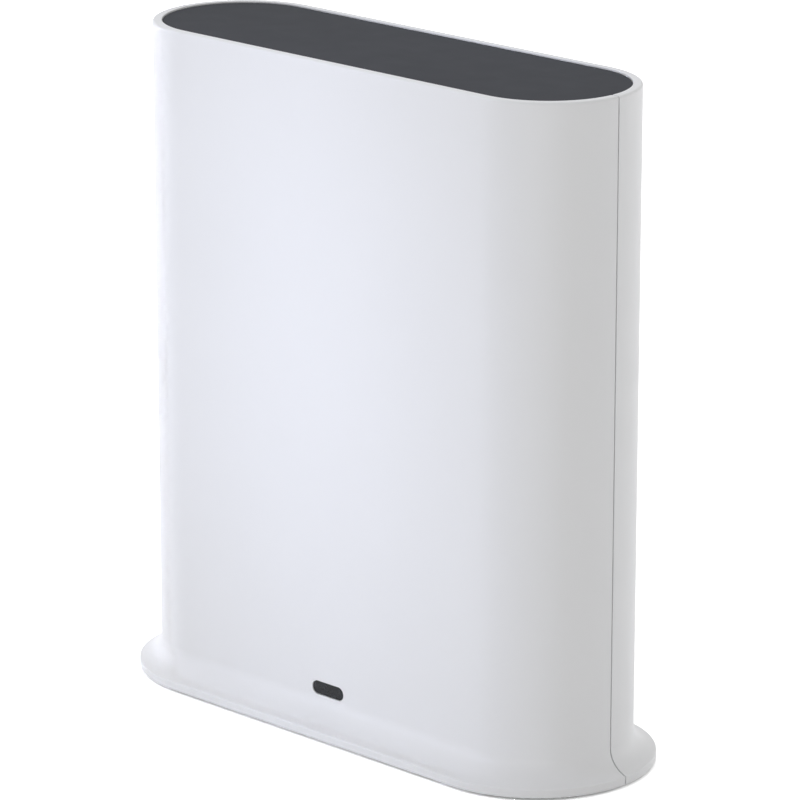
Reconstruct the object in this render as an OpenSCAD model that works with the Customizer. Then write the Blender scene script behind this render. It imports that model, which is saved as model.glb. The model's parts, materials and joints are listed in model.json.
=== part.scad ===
// Base station for wireless security cameras: an upright hub that stands on a flared foot.
// A front and a rear shell close round one upright circuit board. The sockets and the
// sync button face the rear, and the status light shows through a window in the front.
// +Z is up, the front faces -Y, and the origin is on the table under the middle of the foot.

/* [Body] */
// Width of the casing across its two rounded ends
body_width = 130; // [116:1:160]
// Depth of the casing from front to rear
body_depth = 40; // [38:1:52]
// Height from the table to the top rim
overall_height = 150; // [142:1:180]
// Thickness of the casing wall, which is also the width of the top rim
wall = 2.1; // [1.6:0.1:2.6]
// Rounding of the outer edge of the top rim
rim_round = 0.6; // [0.2:0.1:1]
// Open gap where the front and rear shells meet
seam_gap = 0.2; // [0.1:0.05:0.4]
// Thickness of the lip that bridges the seam on the inside
lip_thickness = 1.1; // [0.8:0.1:1.6]
// Reach of the lip into the rear shell
lip_reach = 2.5; // [1.5:0.1:4]

/* [Foot] */
// Overhang of the foot at the front and at the rear
flare_side = 6.4; // [5.5:0.1:9]
// Overhang of the foot at the two ends
flare_end = 4.4; // [4:0.1:7]
// Height of the flare above the underside of the foot's rim
flare_rise = 7.1; // [6.4:0.1:7.3]
// Height of the upright edge of the foot's rim
rim_height = 1.9; // [1.4:0.1:2.6]
// Width of the rim seen from below
rim_band = 3.2; // [2.4:0.1:3.4]
// Height that the rubber feet hold the rim above the table
foot_stand = 0.5; // [0.3:0.1:1.5]
// Thickness of the base plate
base_plate_thickness = 2.1; // [1.8:0.1:3]
// Length of one rubber foot
foot_length = 20; // [12:1:24]
// Width of one rubber foot
foot_width = 7; // [5:0.5:8]
// Depth of the pocket that holds a rubber foot
foot_pocket = 0.8; // [0.4:0.1:1]
// Length of a cooling slot in the base plate
vent_length = 14; // [8:1:16]
// Width of a cooling slot in the base plate
vent_width = 1.8; // [1:0.1:2.4]

/* [Top panel] */
// Thickness of the dark top panel
panel_thickness = 1.8; // [1.2:0.1:2.6]
// Depth of the panel's face below the top rim
panel_recess = 0.3; // [0.1:0.05:0.8]
// Gap round the top panel
panel_gap = 0.15; // [0.05:0.05:0.3]
// Width of the ledge that carries the top panel
ledge_width = 1.9; // [1.4:0.1:3]
// Thickness of that ledge
ledge_thickness = 2; // [1.4:0.1:3]

/* [Status window] */
// Width of the dark status window
window_width = 9.4; // [7:0.1:14]
// Height of the dark status window
window_height = 3; // [2.2:0.1:3]
// Height of the window's middle above the underside of the foot's rim
window_rise = 9; // [8.9:0.1:12]
// Gap round the window
window_gap = 0.12; // [0.05:0.01:0.2]
// Depth of the window's face below the front wall
window_recess = 0.15; // [0.05:0.05:0.4]

/* [Rear sockets] */
// Width of the socket bay in the rear wall
bay_width = 76; // [72:1:84]
// Height of the socket bay in the rear wall
bay_height = 22; // [19:1:26]
// Height of the bay's middle above the table
bay_z = 28; // [25:0.5:31]
// Depth of the socket panel below the rear wall
bay_recess = 1.2; // [0.6:0.1:1.4]
// Thickness of the socket panel's flange behind the wall
bay_flange = 1.4; // [1:0.1:2]
// Place of the power socket across the rear
power_x = 25; // [23:0.5:27]
// Place of the network socket across the rear
network_x = 7; // [6:0.5:9]
// Place of the storage socket across the rear
storage_x = -13; // [-15:0.5:-12]
// Place of the reset hole across the rear
reset_x = -27.5; // [-30:0.5:-26]
// Diameter of the reset pinhole
reset_hole = 1.6; // [1.2:0.1:2]
// Travel of the reset plunger
reset_travel = 0.5; // [0.2:0.1:0.7]

/* [Sync button] */
// Diameter of the sync button's cap
button_diameter = 12; // [9:0.5:14]
// Height of the button's middle above the table
button_z = 58; // [56:0.5:61]
// Height of the cap above the rear wall
button_proud = 0.4; // [0.1:0.1:1]
// Travel of the sync button
button_travel = 0.6; // [0.3:0.1:0.7]
// Gap round the button's cap
button_gap = 0.2; // [0.1:0.05:0.3]

/* [Circuit board] */
// Width of the main board
board_width = 96; // [92:1:100]
// Height of the main board
board_height = 106; // [104:1:108]
// Thickness of the main board
board_thickness = 1.6; // [1:0.1:2]
// Height of the board's lower edge above the table
board_lift = 5; // [4:0.5:6]
// Pilot hole for the screws
pilot_diameter = 2.2; // [2:0.1:2.4]
// Diameter of a screw's head
screw_head = 4.8; // [4:0.1:5.2]
// Outside diameter of a screw boss
boss_diameter = 6.4; // [5.4:0.1:7]
// Side of the square heat sink
sink_side = 54; // [44:1:56]
// Depth of the heat sink with its fins
sink_depth = 10; // [6:0.5:12]
// Diameter of an aerial lead
lead_diameter = 1.2; // [0.8:0.1:1.6]

/* [Hidden] */
$fn = 64;
// Overlap of two bodies that make one solid
eps = 0.01;
// How far a cut runs past the face that it opens
over = 1;

// Plan of the casing and of the foot
body_radius = body_depth / 2;
body_straight = body_width / 2 - body_radius;
inner_radius = body_radius - wall;
foot_radius = body_radius + flare_side;
foot_straight = body_straight - (flare_side - flare_end);
fit_gap = 0.2;
rest_gap = 0.1;

// Heights in the foot and at the top
rim_z = foot_stand;
flare_z = rim_z + flare_rise;
edge_z = rim_z + rim_height;
seat_z = rim_z + base_plate_thickness;
panel_top_z = overall_height - panel_recess;
panel_bottom_z = panel_top_z - panel_thickness;
ledge_z = panel_bottom_z - ledge_thickness;

// Shape of the flare
flare_sweep = 70;
flare_steps = 8;
corner_steps = 18;
side_steps = 12;
flare_step_out = 0.04;
flare_root = 0.3 * wall;
boss_root = 0.6 * wall;

// Circuit board faces, and places of its screws
board_front = -board_thickness / 2;
board_rear = board_thickness / 2;
board_top = board_lift + board_height;
board_hole_inset = 6;
board_hole_rise = 9;
board_hole_drop = 7;
board_hole_x = board_width / 2 - board_hole_inset;
board_hole_z = [board_lift + board_hole_rise, board_top - board_hole_drop];

// Screws: gaps round them, and the cross recess in their heads
hole_gap = 0.3;
thread_gap = 0.1;
head_height = 1.8;
screw_length = 8;
pilot_spare = 1;
pilot_depth = screw_length + pilot_spare;
recess_length = 0.6 * screw_head;
recess_width = 0.7;
recess_depth = 0.7;

// Base screws and their bosses in the shells
base_boss_out = 4;
base_boss_inset = 2.4;
base_boss_x = body_straight + base_boss_out;
base_boss_y = inner_radius - boss_diameter / 2 - base_boss_inset;
base_boss_height = 12;
head_sink = 1.2;

// Rubber feet
foot_inset_x = 18;
foot_inset_y = 3.2;
foot_x = foot_straight - foot_inset_x;
foot_y = body_radius - foot_width / 2 - foot_inset_y;

// Vents in the base plate
vent_count = 9;
vent_pitch = 4.2;

// Clips of the top panel
clip_inset = 12;
clip_x = body_straight - clip_inset;
clip_width = 8;
clip_thickness = 1.2;
clip_drop = 2;
clip_hook = 0.7;
clip_gap = 0.2;

// Status window and light pipe
window_z = rim_z + window_rise;
window_flange = 1.4;
window_flange_depth = 0.8;
light_width = 2.8;
light_height = 1.4;
light_depth = 0.9;
pipe_gap = 0.3;
pipe_inset = 0.4;

// Socket panel
bay_lip = 3;
panel_face_y = body_radius - bay_recess;
bay_inner_y = inner_radius - bay_flange;
socket_gap = 0.25;
mouth_sink = 0.3;
mouth_y = panel_face_y - mouth_sink;

// Network socket
network_width = 16.2;
network_height = 13.4;
network_shield = 0.3;
plug_width = 11.9;
plug_height = 7;
plug_depth = 12;
latch_width = 6.2;
latch_height = 2.6;
plug_lift = 0.9;
plug_z = bay_z + plug_lift;
contact_count = 8;
contact_pitch = 1.02;
contact_thickness = 0.4;
contact_length = 8;

// Storage socket
storage_width = 13.2;
storage_height = 5.8;
storage_shell = 0.35;
tongue_width = 11.1;
tongue_height = 1.9;
tongue_sink = 1.2;
tongue_lift = 0.7;
tongue_z = bay_z + tongue_lift;
contact_end = 1;
storage_base = 4;
storage_contacts = 4;
storage_contact_pitch = 2.4;
storage_contact_width = 1.2;
storage_contact_height = 0.25;

// Power socket
power_body = 10.4;
power_collar = 8.4;
power_bore = 5.8;
power_bore_depth = 9.5;
power_pin_diameter = 2;
power_pin_sink = 0.8;
power_body_depth = 11;

// Switches behind the buttons
switch_side = 6;
switch_height = 3.5;
actuator_diameter = 3.5;
actuator_sink = 1.2;
switch_bore = actuator_diameter + 2 * rest_gap;
stroke_room = 0.4;
switch_bore_depth = actuator_sink + max(button_travel, reset_travel) + stroke_room;
sync_reach = 3.6;
sync_actuator = button_travel + sync_reach;
reset_reach = 0.9;
reset_actuator = reset_travel + reset_reach;

// Sync button
button_flange = 1.5;
button_flange_depth = 1.2;
button_stem = 5;
guide_wall = 1.2;
guide_depth = 4;
guide_gap = 0.3;
guide_bore = button_diameter + 2 * button_flange + 2 * guide_gap;
sync_contact_y = board_rear + switch_height + sync_actuator;

// Reset plunger
plunger_diameter = 2.6;
plunger_gap = 0.06;
plunger_tube = 5.4;
plunger_wall = 1.6;
plunger_collar = 4.4;
plunger_collar_length = 2;
reset_contact_y = board_rear + switch_height + reset_actuator;
tube_end_y = reset_contact_y + plunger_collar_length + rest_gap;

// Parts on the board
processor_side = 17;
processor_depth = 1.4;
processor_rise = 62;
processor_z = board_lift + processor_rise;
pad_depth = 1;
sink_plate = 2;
sink_face = board_front - processor_depth - pad_depth;
sink_front = sink_face - sink_plate;
fin_count = 9;
fin_thickness = 1.3;
pin_reach = 4;
pin_shaft = 3;
pin_hole = 3.3;
pin_head = 5.4;
pin_head_gap = 0.7;
pin_head_depth = 1;
barb_spread = 1;
pin_barb = pin_hole + barb_spread;
pin_offset = sink_side / 2 - pin_reach;
shield_width = 40;
shield_height = 24;
shield_depth = 2.6;
shield_wall = 0.25;
shield_drop = 28;
shield_z = board_top - shield_drop;
radio_side = 10;
radio_depth = 1;
memory_size = [13, 1.1, 9];
memory_gap = 3;
memory_step = (processor_side + memory_size[2]) / 2 + memory_gap;
flash_x = 36;
flash_rise = 66;
flash_z = board_lift + flash_rise;
flash_size = [8, 1, 6];
coupler_size = [12.8, 5.2, 9];
coupler_rise = 16;
coupler_z = bay_z + coupler_rise;
coil_size = [6.4, 4.4, 6.4];
coil_x = [26, 36];
coil_rise = 18;
coil_z = bay_z + coil_rise;
capacitor_diameter = 6.3;
capacitor_length = 7.6;
capacitor_x = [-36, -28];
capacitor_rise = 18;
capacitor_z = bay_z + capacitor_rise;
crystal_size = [3.2, 0.8, 2.5];
crystal_x = -14;
crystal_rise = 82;
crystal_z = board_lift + crystal_rise;

// Aerials above the board, with their posts and leads
aerial_width = 30;
aerial_height = 18;
aerial_thickness = 0.8;
aerial_x = 37;
aerial_rise = 16;
aerial_z = board_top + aerial_rise;
aerial_post = 5;
aerial_peg = 1.8;
aerial_peg_root = 1;
aerial_peg_stand = 0.6;
aerial_hole_x = 11;
trace_thickness = 0.1;
trace_width = 2.4;
trace_inset = 2;
trace_span = 11;
plug_cap = 3.2;
socket_cap = 2.8;
socket_cap_depth = 1.2;
plug_cap_body = 0.6;
lead_socket_x = 14;
lead_socket_drop = 7;
lead_socket_z = board_top - lead_socket_drop;
lead_feed_in = 8;
lead_feed_x = aerial_x - lead_feed_in;
lead_feed_drop = 5;
lead_feed_z = aerial_z - lead_feed_drop;
lead_y = board_rear + socket_cap_depth + plug_cap_body + lead_diameter / 2;
bend_radius = 2;
lead_turn_z = lead_socket_z + plug_cap + bend_radius;
plug_cap_cover = 0.3;

// Outline of a slot: a straight middle with a round end on each side
module stadium(straight, radius) {
    square([2 * straight, 2 * radius], center = true);
    for (side = [-1, 1])
        translate([side * straight, 0]) circle(radius);
}

// Slot of a given overall size
module slot(width, height) {
    stadium((width - height) / 2, height / 2);
}

// Upright prism between two heights
module upright(bottom, top) {
    translate([0, 0, bottom]) linear_extrude(top - bottom) children();
}

// Prism along Y between two depths, from an outline in X and Z
module along_y(front, rear) {
    translate([0, rear, 0]) rotate([90, 0, 0]) linear_extrude(rear - front) children();
}

// Round bar along Y
module rod_y(x, z, diameter, front, rear) {
    translate([x, rear, z]) rotate([90, 0, 0]) cylinder(d = diameter, h = rear - front);
}

// Box that stands on one face of the board, centred at x and z
module on_board(x, z, size, face, away) {
    depth = away * size[1] / 2;
    translate([x, face + depth, z]) cube(size, center = true);
}

// Sweeps a radius-and-height profile round the front half of the casing
module front_sweep() {
    translate([body_straight, 0, 0]) rotate([0, 0, -90]) rotate_extrude(angle = 90) children();
    translate([-body_straight, 0, 0]) rotate([0, 0, 180]) rotate_extrude(angle = 90) children();
    translate([body_straight, 0, 0]) rotate([90, 0, -90])
        linear_extrude(2 * body_straight) children();
}

// Section of the wall, with its rounded top edge and the ledge for the top panel
module wall_profile() {
    difference() {
        translate([inner_radius, seat_z + fit_gap])
            square([wall, overall_height - seat_z - fit_gap]);
        translate([body_radius - rim_round, overall_height - rim_round]) difference() {
            square(rim_round + over);
            circle(rim_round);
        }
    }
    translate([inner_radius - ledge_width, ledge_z]) square([ledge_width + wall / 2, ledge_thickness]);
}

// Distance from the casing to the edge of the foot, square to the casing
function end_reach(angle) =
    let (shift = body_straight - foot_straight, across = shift * sin(angle),
         arc = sqrt(foot_radius * foot_radius - across * across) - shift * cos(angle),
         flat = foot_radius / max(sin(angle), eps),
         on_flat = body_straight + flat * cos(angle) < foot_straight)
    (on_flat ? flat : arc) - body_radius;
function side_reach(x) =
    let (past = max(0, abs(x) - foot_straight))
    sqrt(foot_radius * foot_radius - past * past) - body_radius;

// Stations round the front half of the casing: place, direction outwards, reach of the foot
function end_station(side, angle) = [
    [side * (body_straight + body_radius * cos(angle)), -body_radius * sin(angle)],
    [side * cos(angle), -sin(angle)],
    end_reach(angle)
];
function side_station(x) = [[x, -body_radius], [0, -1], side_reach(x)];
stations = concat(
    [for (i = [0 : corner_steps]) end_station(1, 90 * i / corner_steps)],
    [for (i = [side_steps - 1 : -1 : 1 - side_steps]) side_station(body_straight * i / side_steps)],
    [for (i = [corner_steps : -1 : 0]) end_station(-1, 90 * i / corner_steps)]
);

// Section of the foot's flare: distance from the casing, and height
function flare_section(reach) = concat(
    [for (k = [0 : flare_steps])
        let (angle = flare_sweep * k / flare_steps)
        [flare_step_out + (reach - flare_step_out) * (1 - cos(angle)) / (1 - cos(flare_sweep)),
         flare_z - (flare_z - edge_z) * sin(angle) / sin(flare_sweep)]],
    [[reach, rim_z], [reach - rim_band, rim_z], [reach - rim_band, seat_z],
     [-flare_root, seat_z], [-flare_root, flare_z]]
);

// Front half of the flared foot
module front_flare() {
    rings = [for (s = stations) [for (p = flare_section(s[2])) [
        s[0][0] + s[1][0] * p[0], s[0][1] + s[1][1] * p[0], p[1]
    ]]];
    count = len(rings[0]);
    last = len(rings) - 1;
    sides = [for (i = [0 : last - 1], j = [0 : count - 1])
        let (a = i * count + j, b = i * count + (j + 1) % count)
        each [[a, b, a + count], [b, b + count, a + count]]];
    first_end = [for (j = [count - 1 : -1 : 0]) j];
    last_end = [for (j = [0 : count - 1]) last * count + j];
    polyhedron([for (ring = rings) each ring], concat(sides, [first_end, last_end]), convexity = 6);
}

// Half of the casing with its flare, cut back at the seam
module half_casing() {
    difference() {
        union() {
            front_sweep() wall_profile();
            front_flare();
        }
        translate([0, 0, overall_height / 2])
            cube([2 * body_width, seam_gap, 2 * overall_height], center = true);
    }
}

// Keeps a boss or rib inside the middle of the casing wall
module inside_wall() {
    intersection() {
        children();
        upright(0, overall_height) stadium(body_straight, body_radius - boss_root);
    }
}

// Keeps a flange inside the casing
module inside_casing() {
    intersection() {
        children();
        upright(0, overall_height) stadium(body_straight, inner_radius);
    }
}

// Boss in the foot for one base screw, with a web to the wall
module base_boss(side) {
    difference() {
        inside_wall() union() {
            translate([side * base_boss_x, -base_boss_y, seat_z])
                cylinder(d = boss_diameter, h = base_boss_height);
            translate([side * base_boss_x - wall / 2, -body_radius, seat_z])
                cube([wall, body_radius - base_boss_y - pilot_diameter, base_boss_height]);
        }
        translate([side * base_boss_x, -base_boss_y, seat_z - eps])
            cylinder(d = pilot_diameter, h = pilot_depth);
    }
}

// Boss for one board screw
module board_boss(x, z) {
    difference() {
        inside_wall() rod_y(x, z, boss_diameter, -body_radius, board_front);
        rod_y(x, z, pilot_diameter, board_front - pilot_depth, board_front + eps);
    }
}

// Post and peg for an aerial
module aerial_posts(side) {
    seat = board_rear - aerial_thickness;
    for (step = [-1, 1])
        let (x = side * aerial_x + step * aerial_hole_x) {
            inside_wall() rod_y(x, aerial_z, aerial_post, -body_radius, seat);
            rod_y(x, aerial_z, aerial_peg, seat - aerial_peg_root, board_rear + aerial_peg_stand);
        }
}

// Lip inside the seam: it is part of the front shell and reaches into the rear one
module seam_lip() {
    lip_radius = inner_radius - fit_gap;
    top = ledge_z - fit_gap;
    bottom = seat_z + base_boss_height + fit_gap;
    for (side = [-1, 1])
        translate([side * body_straight, 0, bottom]) linear_extrude(top - bottom) difference() {
            intersection() {
                union() {
                    circle(lip_radius);
                    translate([-body_radius, -body_radius])
                        intersection() {
                            square([body_depth, body_radius - seam_gap]);
                            translate([body_radius, body_radius]) circle(body_radius - boss_root);
                        }
                }
                translate([side > 0 ? 0 : -body_depth, -lip_reach]) square([body_depth, 2 * lip_reach]);
            }
            circle(lip_radius - lip_thickness);
        }
}

module front_shell() {
    color([0.93, 0.93, 0.95]) {
        difference() {
            half_casing();
            along_y(-body_radius - over, -inner_radius + over) translate([0, window_z])
                slot(window_width + 2 * window_gap, window_height + 2 * window_gap);
        }
        for (side = [-1, 1]) {
            base_boss(side);
            aerial_posts(side);
            for (z = board_hole_z) board_boss(side * board_hole_x, z);
        }
        seam_lip();
    }
}

module rear_shell() {
    color([0.93, 0.93, 0.95]) {
        difference() {
            rotate([0, 0, 180]) half_casing();
            along_y(inner_radius - over, body_radius + over) translate([0, bay_z])
                slot(bay_width, bay_height);
            rod_y(0, button_z, button_diameter + 2 * button_gap, inner_radius - over, body_radius + over);
        }
        rotate([0, 0, 180]) for (side = [-1, 1]) base_boss(side);
        difference() {
            rod_y(0, button_z, guide_bore + 2 * guide_wall, inner_radius - guide_depth,
                  inner_radius + wall / 2);
            rod_y(0, button_z, guide_bore, inner_radius - guide_depth - over, body_radius);
        }
    }
}

module top_panel() {
    color([0.19, 0.19, 0.2]) {
        upright(panel_bottom_z, panel_top_z) stadium(body_straight, inner_radius - panel_gap);
        for (side = [-1, 1], face = [-1, 1]) top_clip(side * clip_x, face);
    }
}

// Clip that hooks under the ledge
module top_clip(x, face) {
    outer = inner_radius - ledge_width - clip_gap;
    drop = ledge_thickness + clip_drop;
    inner = face > 0 ? outer - clip_thickness : -outer;
    hook = face > 0 ? outer - eps : -outer - clip_hook;
    translate([x - clip_width / 2, inner, panel_bottom_z - drop])
        cube([clip_width, clip_thickness, drop + eps]);
    translate([x - clip_width / 2, hook, panel_bottom_z - drop])
        cube([clip_width, clip_hook + eps, clip_drop - clip_gap]);
}

// Places of the four base screws
module at_base_screws() {
    for (side = [-1, 1], face = [-1, 1])
        translate([side * base_boss_x, face * base_boss_y, 0]) children();
}

// Places of the four rubber feet
module at_feet() {
    for (side = [-1, 1], face = [-1, 1])
        translate([side * foot_x, face * foot_y, 0]) children();
}

module base_plate() {
    color([0.88, 0.88, 0.9]) difference() {
        upright(rim_z, seat_z) stadium(foot_straight, foot_radius - rim_band - fit_gap);
        at_feet() upright(rim_z - over, rim_z + foot_pocket)
            slot(foot_length + 2 * rest_gap, foot_width + 2 * rest_gap);
        at_base_screws() {
            upright(rim_z - over, seat_z + over) circle(d = pilot_diameter + 2 * hole_gap);
            upright(rim_z - over, rim_z + head_sink) circle(d = screw_head + 2 * hole_gap);
        }
        for (i = [0 : vent_count - 1])
            translate([(i - (vent_count - 1) / 2) * vent_pitch, 0, 0])
                upright(rim_z - over, seat_z + over) rotate(90) slot(vent_length, vent_width);
    }
}

module rubber_feet() {
    color([0.12, 0.12, 0.13]) at_feet() upright(0, rim_z + foot_pocket) slot(foot_length, foot_width);
}

module base_screws() {
    color([0.6, 0.6, 0.62]) at_base_screws() {
        difference() {
            upright(rim_z + rest_gap, rim_z + head_sink) circle(d = screw_head);
            for (turn = [0, 90])
                upright(rim_z, rim_z + rest_gap + recess_depth) rotate(turn)
                    square([recess_length, recess_width], center = true);
        }
        upright(rim_z + head_sink - eps, seat_z + screw_length)
            circle(d = pilot_diameter - 2 * thread_gap);
    }
}

module status_window() {
    color([0.1, 0.1, 0.11]) {
        along_y(-body_radius + window_recess, -inner_radius) translate([0, window_z])
            slot(window_width, window_height);
        along_y(-inner_radius, -inner_radius + window_flange_depth) translate([0, window_z])
            slot(window_width + 2 * window_flange, window_height + 2 * window_flange);
    }
}

module light_pipe() {
    color([0.9, 0.93, 0.95]) along_y(-inner_radius + window_flange_depth,
                                     board_front - light_depth - pipe_gap)
        translate([0, window_z]) slot(window_width - 2 * pipe_inset, window_height - 2 * pipe_inset);
}

module status_light() {
    color([0.95, 0.95, 0.85])
        on_board(0, window_z, [light_width, light_depth, light_height], board_front, -1);
}

module socket_panel() {
    reset_face = panel_face_y - plunger_wall;
    color([0.17, 0.17, 0.18]) difference() {
        union() {
            along_y(inner_radius, panel_face_y) translate([0, bay_z])
                slot(bay_width - 2 * fit_gap, bay_height - 2 * fit_gap);
            inside_casing() along_y(bay_inner_y, inner_radius) translate([0, bay_z])
                slot(bay_width + 2 * bay_lip, bay_height + 2 * bay_lip);
            rod_y(reset_x, bay_z, plunger_tube, tube_end_y, inner_radius);
        }
        along_y(bay_inner_y - over, body_radius) translate([network_x, bay_z])
            square([network_width + 2 * socket_gap, network_height + 2 * socket_gap], center = true);
        along_y(bay_inner_y - over, body_radius) translate([storage_x, bay_z])
            square([storage_width + 2 * socket_gap, storage_height + 2 * socket_gap], center = true);
        rod_y(power_x, bay_z, power_collar + 2 * socket_gap, bay_inner_y - over, body_radius);
        rod_y(reset_x, bay_z, reset_hole, tube_end_y, body_radius);
        rod_y(reset_x, bay_z, plunger_diameter + 2 * plunger_gap, tube_end_y - over, reset_face);
    }
}

module sync_button() {
    flange_rear = inner_radius - rest_gap;
    flange_front = flange_rear - button_flange_depth;
    color([0.9, 0.9, 0.92]) {
        rod_y(0, button_z, button_diameter, flange_rear - eps, body_radius + button_proud);
        rod_y(0, button_z, button_diameter + 2 * button_flange, flange_front, flange_rear);
        rod_y(0, button_z, button_stem, sync_contact_y, flange_front + eps);
    }
}

module tact_switch(x, z) {
    top = board_rear + switch_height;
    difference() {
        on_board(x, z, [switch_side, switch_height, switch_side], board_rear, 1);
        rod_y(x, z, switch_bore, top - switch_bore_depth, top + over);
    }
}

module actuator(x, z, reach) {
    top = board_rear + switch_height;
    rod_y(x, z, actuator_diameter, top - actuator_sink, top + reach);
}

module sync_switch() {
    color([0.15, 0.15, 0.16]) tact_switch(0, button_z);
}

module sync_switch_actuator() {
    color([0.05, 0.05, 0.05]) actuator(0, button_z, sync_actuator);
}

module reset_switch() {
    color([0.15, 0.15, 0.16]) tact_switch(reset_x, bay_z);
}

module reset_switch_actuator() {
    color([0.05, 0.05, 0.05]) actuator(reset_x, bay_z, reset_actuator);
}

module reset_plunger() {
    color([0.9, 0.9, 0.92]) {
        rod_y(reset_x, bay_z, plunger_diameter, reset_contact_y + eps,
              panel_face_y - plunger_wall - rest_gap);
        rod_y(reset_x, bay_z, plunger_collar, reset_contact_y, tube_end_y - rest_gap);
    }
}

module main_board() {
    color([0.05, 0.28, 0.16]) difference() {
        translate([-board_width / 2, board_front, board_lift])
            cube([board_width, board_thickness, board_height]);
        for (side = [-1, 1], z = board_hole_z)
            rod_y(side * board_hole_x, z, pilot_diameter + 2 * hole_gap, board_front - over,
                  board_rear + over);
        at_sink_pins() rod_y(0, 0, pin_hole, board_front - over, board_rear + over);
    }
}

module board_screws() {
    color([0.6, 0.6, 0.62]) for (side = [-1, 1], z = board_hole_z) {
        x = side * board_hole_x;
        difference() {
            rod_y(x, z, screw_head, board_rear, board_rear + head_height);
            for (turn = [0, 90])
                translate([x, board_rear + head_height, z]) rotate([0, turn, 0])
                    cube([recess_length, 2 * recess_depth, recess_width], center = true);
        }
        rod_y(x, z, pilot_diameter - 2 * thread_gap, board_front - screw_length, board_rear + eps);
    }
}

module processor() {
    color([0.08, 0.08, 0.09])
        on_board(0, processor_z, [processor_side, processor_depth, processor_side], board_front, -1);
}

module thermal_pad() {
    color([0.55, 0.6, 0.68])
        on_board(0, processor_z, [processor_side, pad_depth, processor_side],
                 board_front - processor_depth, -1);
}

// Places of the two spring pins of the heat sink
module at_sink_pins() {
    for (side = [-1, 1])
        translate([side * pin_offset, 0, processor_z]) children();
}

module heat_sink() {
    pitch = (sink_side - fin_thickness) / (fin_count - 1);
    color([0.72, 0.73, 0.75]) difference() {
        union() {
            on_board(0, processor_z, [sink_side, sink_plate, sink_side], sink_face, -1);
            for (i = [0 : fin_count - 1])
                translate([-sink_side / 2 + i * pitch, sink_face - sink_depth, processor_z - sink_side / 2])
                    cube([fin_thickness, sink_depth - sink_plate + eps, sink_side]);
        }
        at_sink_pins() {
            rod_y(0, 0, pin_hole, sink_front - over, sink_face + over);
            rod_y(0, 0, pin_head + 2 * pin_head_gap, sink_face - sink_depth - over, sink_front);
        }
    }
}

module heat_sink_pins() {
    color([0.85, 0.85, 0.8]) at_sink_pins() {
        rod_y(0, 0, pin_head, sink_front - pin_head_depth, sink_front);
        rod_y(0, 0, pin_shaft, sink_front - eps, board_rear + eps);
        rod_y(0, 0, pin_barb, board_rear, board_rear + pin_head_depth);
    }
}

module radio_shield() {
    color([0.75, 0.75, 0.76]) difference() {
        on_board(0, shield_z, [shield_width, shield_depth, shield_height], board_rear, 1);
        on_board(0, shield_z, [shield_width - 2 * shield_wall, 2 * (shield_depth - shield_wall),
                               shield_height - 2 * shield_wall], board_rear, 0);
    }
}

module radio_chip() {
    color([0.08, 0.08, 0.09]) on_board(0, shield_z, [radio_side, radio_depth, radio_side], board_rear, 1);
}

module memory_chips() {
    color([0.08, 0.08, 0.09]) for (side = [-1, 1])
        on_board(0, processor_z + side * memory_step, memory_size, board_front, -1);
}

module flash_chip() {
    color([0.08, 0.08, 0.09]) on_board(flash_x, flash_z, flash_size, board_rear, 1);
}

module crystal() {
    color([0.78, 0.78, 0.78]) on_board(crystal_x, crystal_z, crystal_size, board_front, -1);
}

module network_socket_shield() {
    color([0.75, 0.75, 0.76]) along_y(board_rear, mouth_y) translate([network_x, bay_z]) difference() {
        square([network_width, network_height], center = true);
        square([network_width - 2 * network_shield, network_height - 2 * network_shield], center = true);
    }
}

module network_socket_body() {
    body_width_in = network_width - 2 * network_shield;
    body_height_in = network_height - 2 * network_shield;
    color([0.06, 0.06, 0.06]) difference() {
        along_y(board_rear, mouth_y - rest_gap) translate([network_x, bay_z])
            square([body_width_in, body_height_in], center = true);
        along_y(mouth_y - plug_depth, mouth_y + over) translate([network_x, plug_z]) {
            square([plug_width, plug_height], center = true);
            translate([-latch_width / 2, -plug_height / 2 - latch_height])
                square([latch_width, latch_height + eps]);
        }
    }
}

module network_contacts() {
    back = mouth_y - plug_depth;
    top = plug_z + plug_height / 2;
    color([0.85, 0.68, 0.3]) for (i = [0 : contact_count - 1])
        translate([network_x + (i - (contact_count - 1) / 2) * contact_pitch - contact_thickness / 2,
                   back, top - contact_thickness])
            cube([contact_thickness, contact_length, contact_thickness]);
}

module network_coupler() {
    color([0.08, 0.08, 0.09]) on_board(network_x, coupler_z, coupler_size, board_rear, 1);
}

module storage_socket_shell() {
    color([0.78, 0.78, 0.79]) along_y(board_rear, mouth_y) translate([storage_x, bay_z]) difference() {
        square([storage_width, storage_height], center = true);
        square([storage_width - 2 * storage_shell, storage_height - 2 * storage_shell], center = true);
    }
}

module storage_socket_tongue() {
    color([0.92, 0.92, 0.92]) {
        along_y(board_rear, board_rear + storage_base) translate([storage_x, bay_z])
            square([storage_width - 2 * storage_shell, storage_height - 2 * storage_shell], center = true);
        along_y(board_rear + storage_base - eps, mouth_y - tongue_sink) translate([storage_x, tongue_z])
            square([tongue_width, tongue_height], center = true);
    }
}

module storage_contacts() {
    top = tongue_z - tongue_height / 2;
    color([0.85, 0.68, 0.3]) for (i = [0 : storage_contacts - 1])
        translate([storage_x + (i - (storage_contacts - 1) / 2) * storage_contact_pitch
                   - storage_contact_width / 2, board_rear + storage_base, top - storage_contact_height])
            cube([storage_contact_width, mouth_y - tongue_sink - contact_end - board_rear - storage_base,
                  storage_contact_height]);
}

module power_socket() {
    color([0.07, 0.07, 0.07]) difference() {
        union() {
            on_board(power_x, bay_z, [power_body, power_body_depth, power_body], board_rear, 1);
            rod_y(power_x, bay_z, power_collar, board_rear + power_body_depth - eps, mouth_y);
        }
        rod_y(power_x, bay_z, power_bore, mouth_y - power_bore_depth, mouth_y + over);
    }
}

module power_socket_pin() {
    color([0.8, 0.78, 0.7])
        rod_y(power_x, bay_z, power_pin_diameter, mouth_y - power_bore_depth, mouth_y - power_pin_sink);
}

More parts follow.
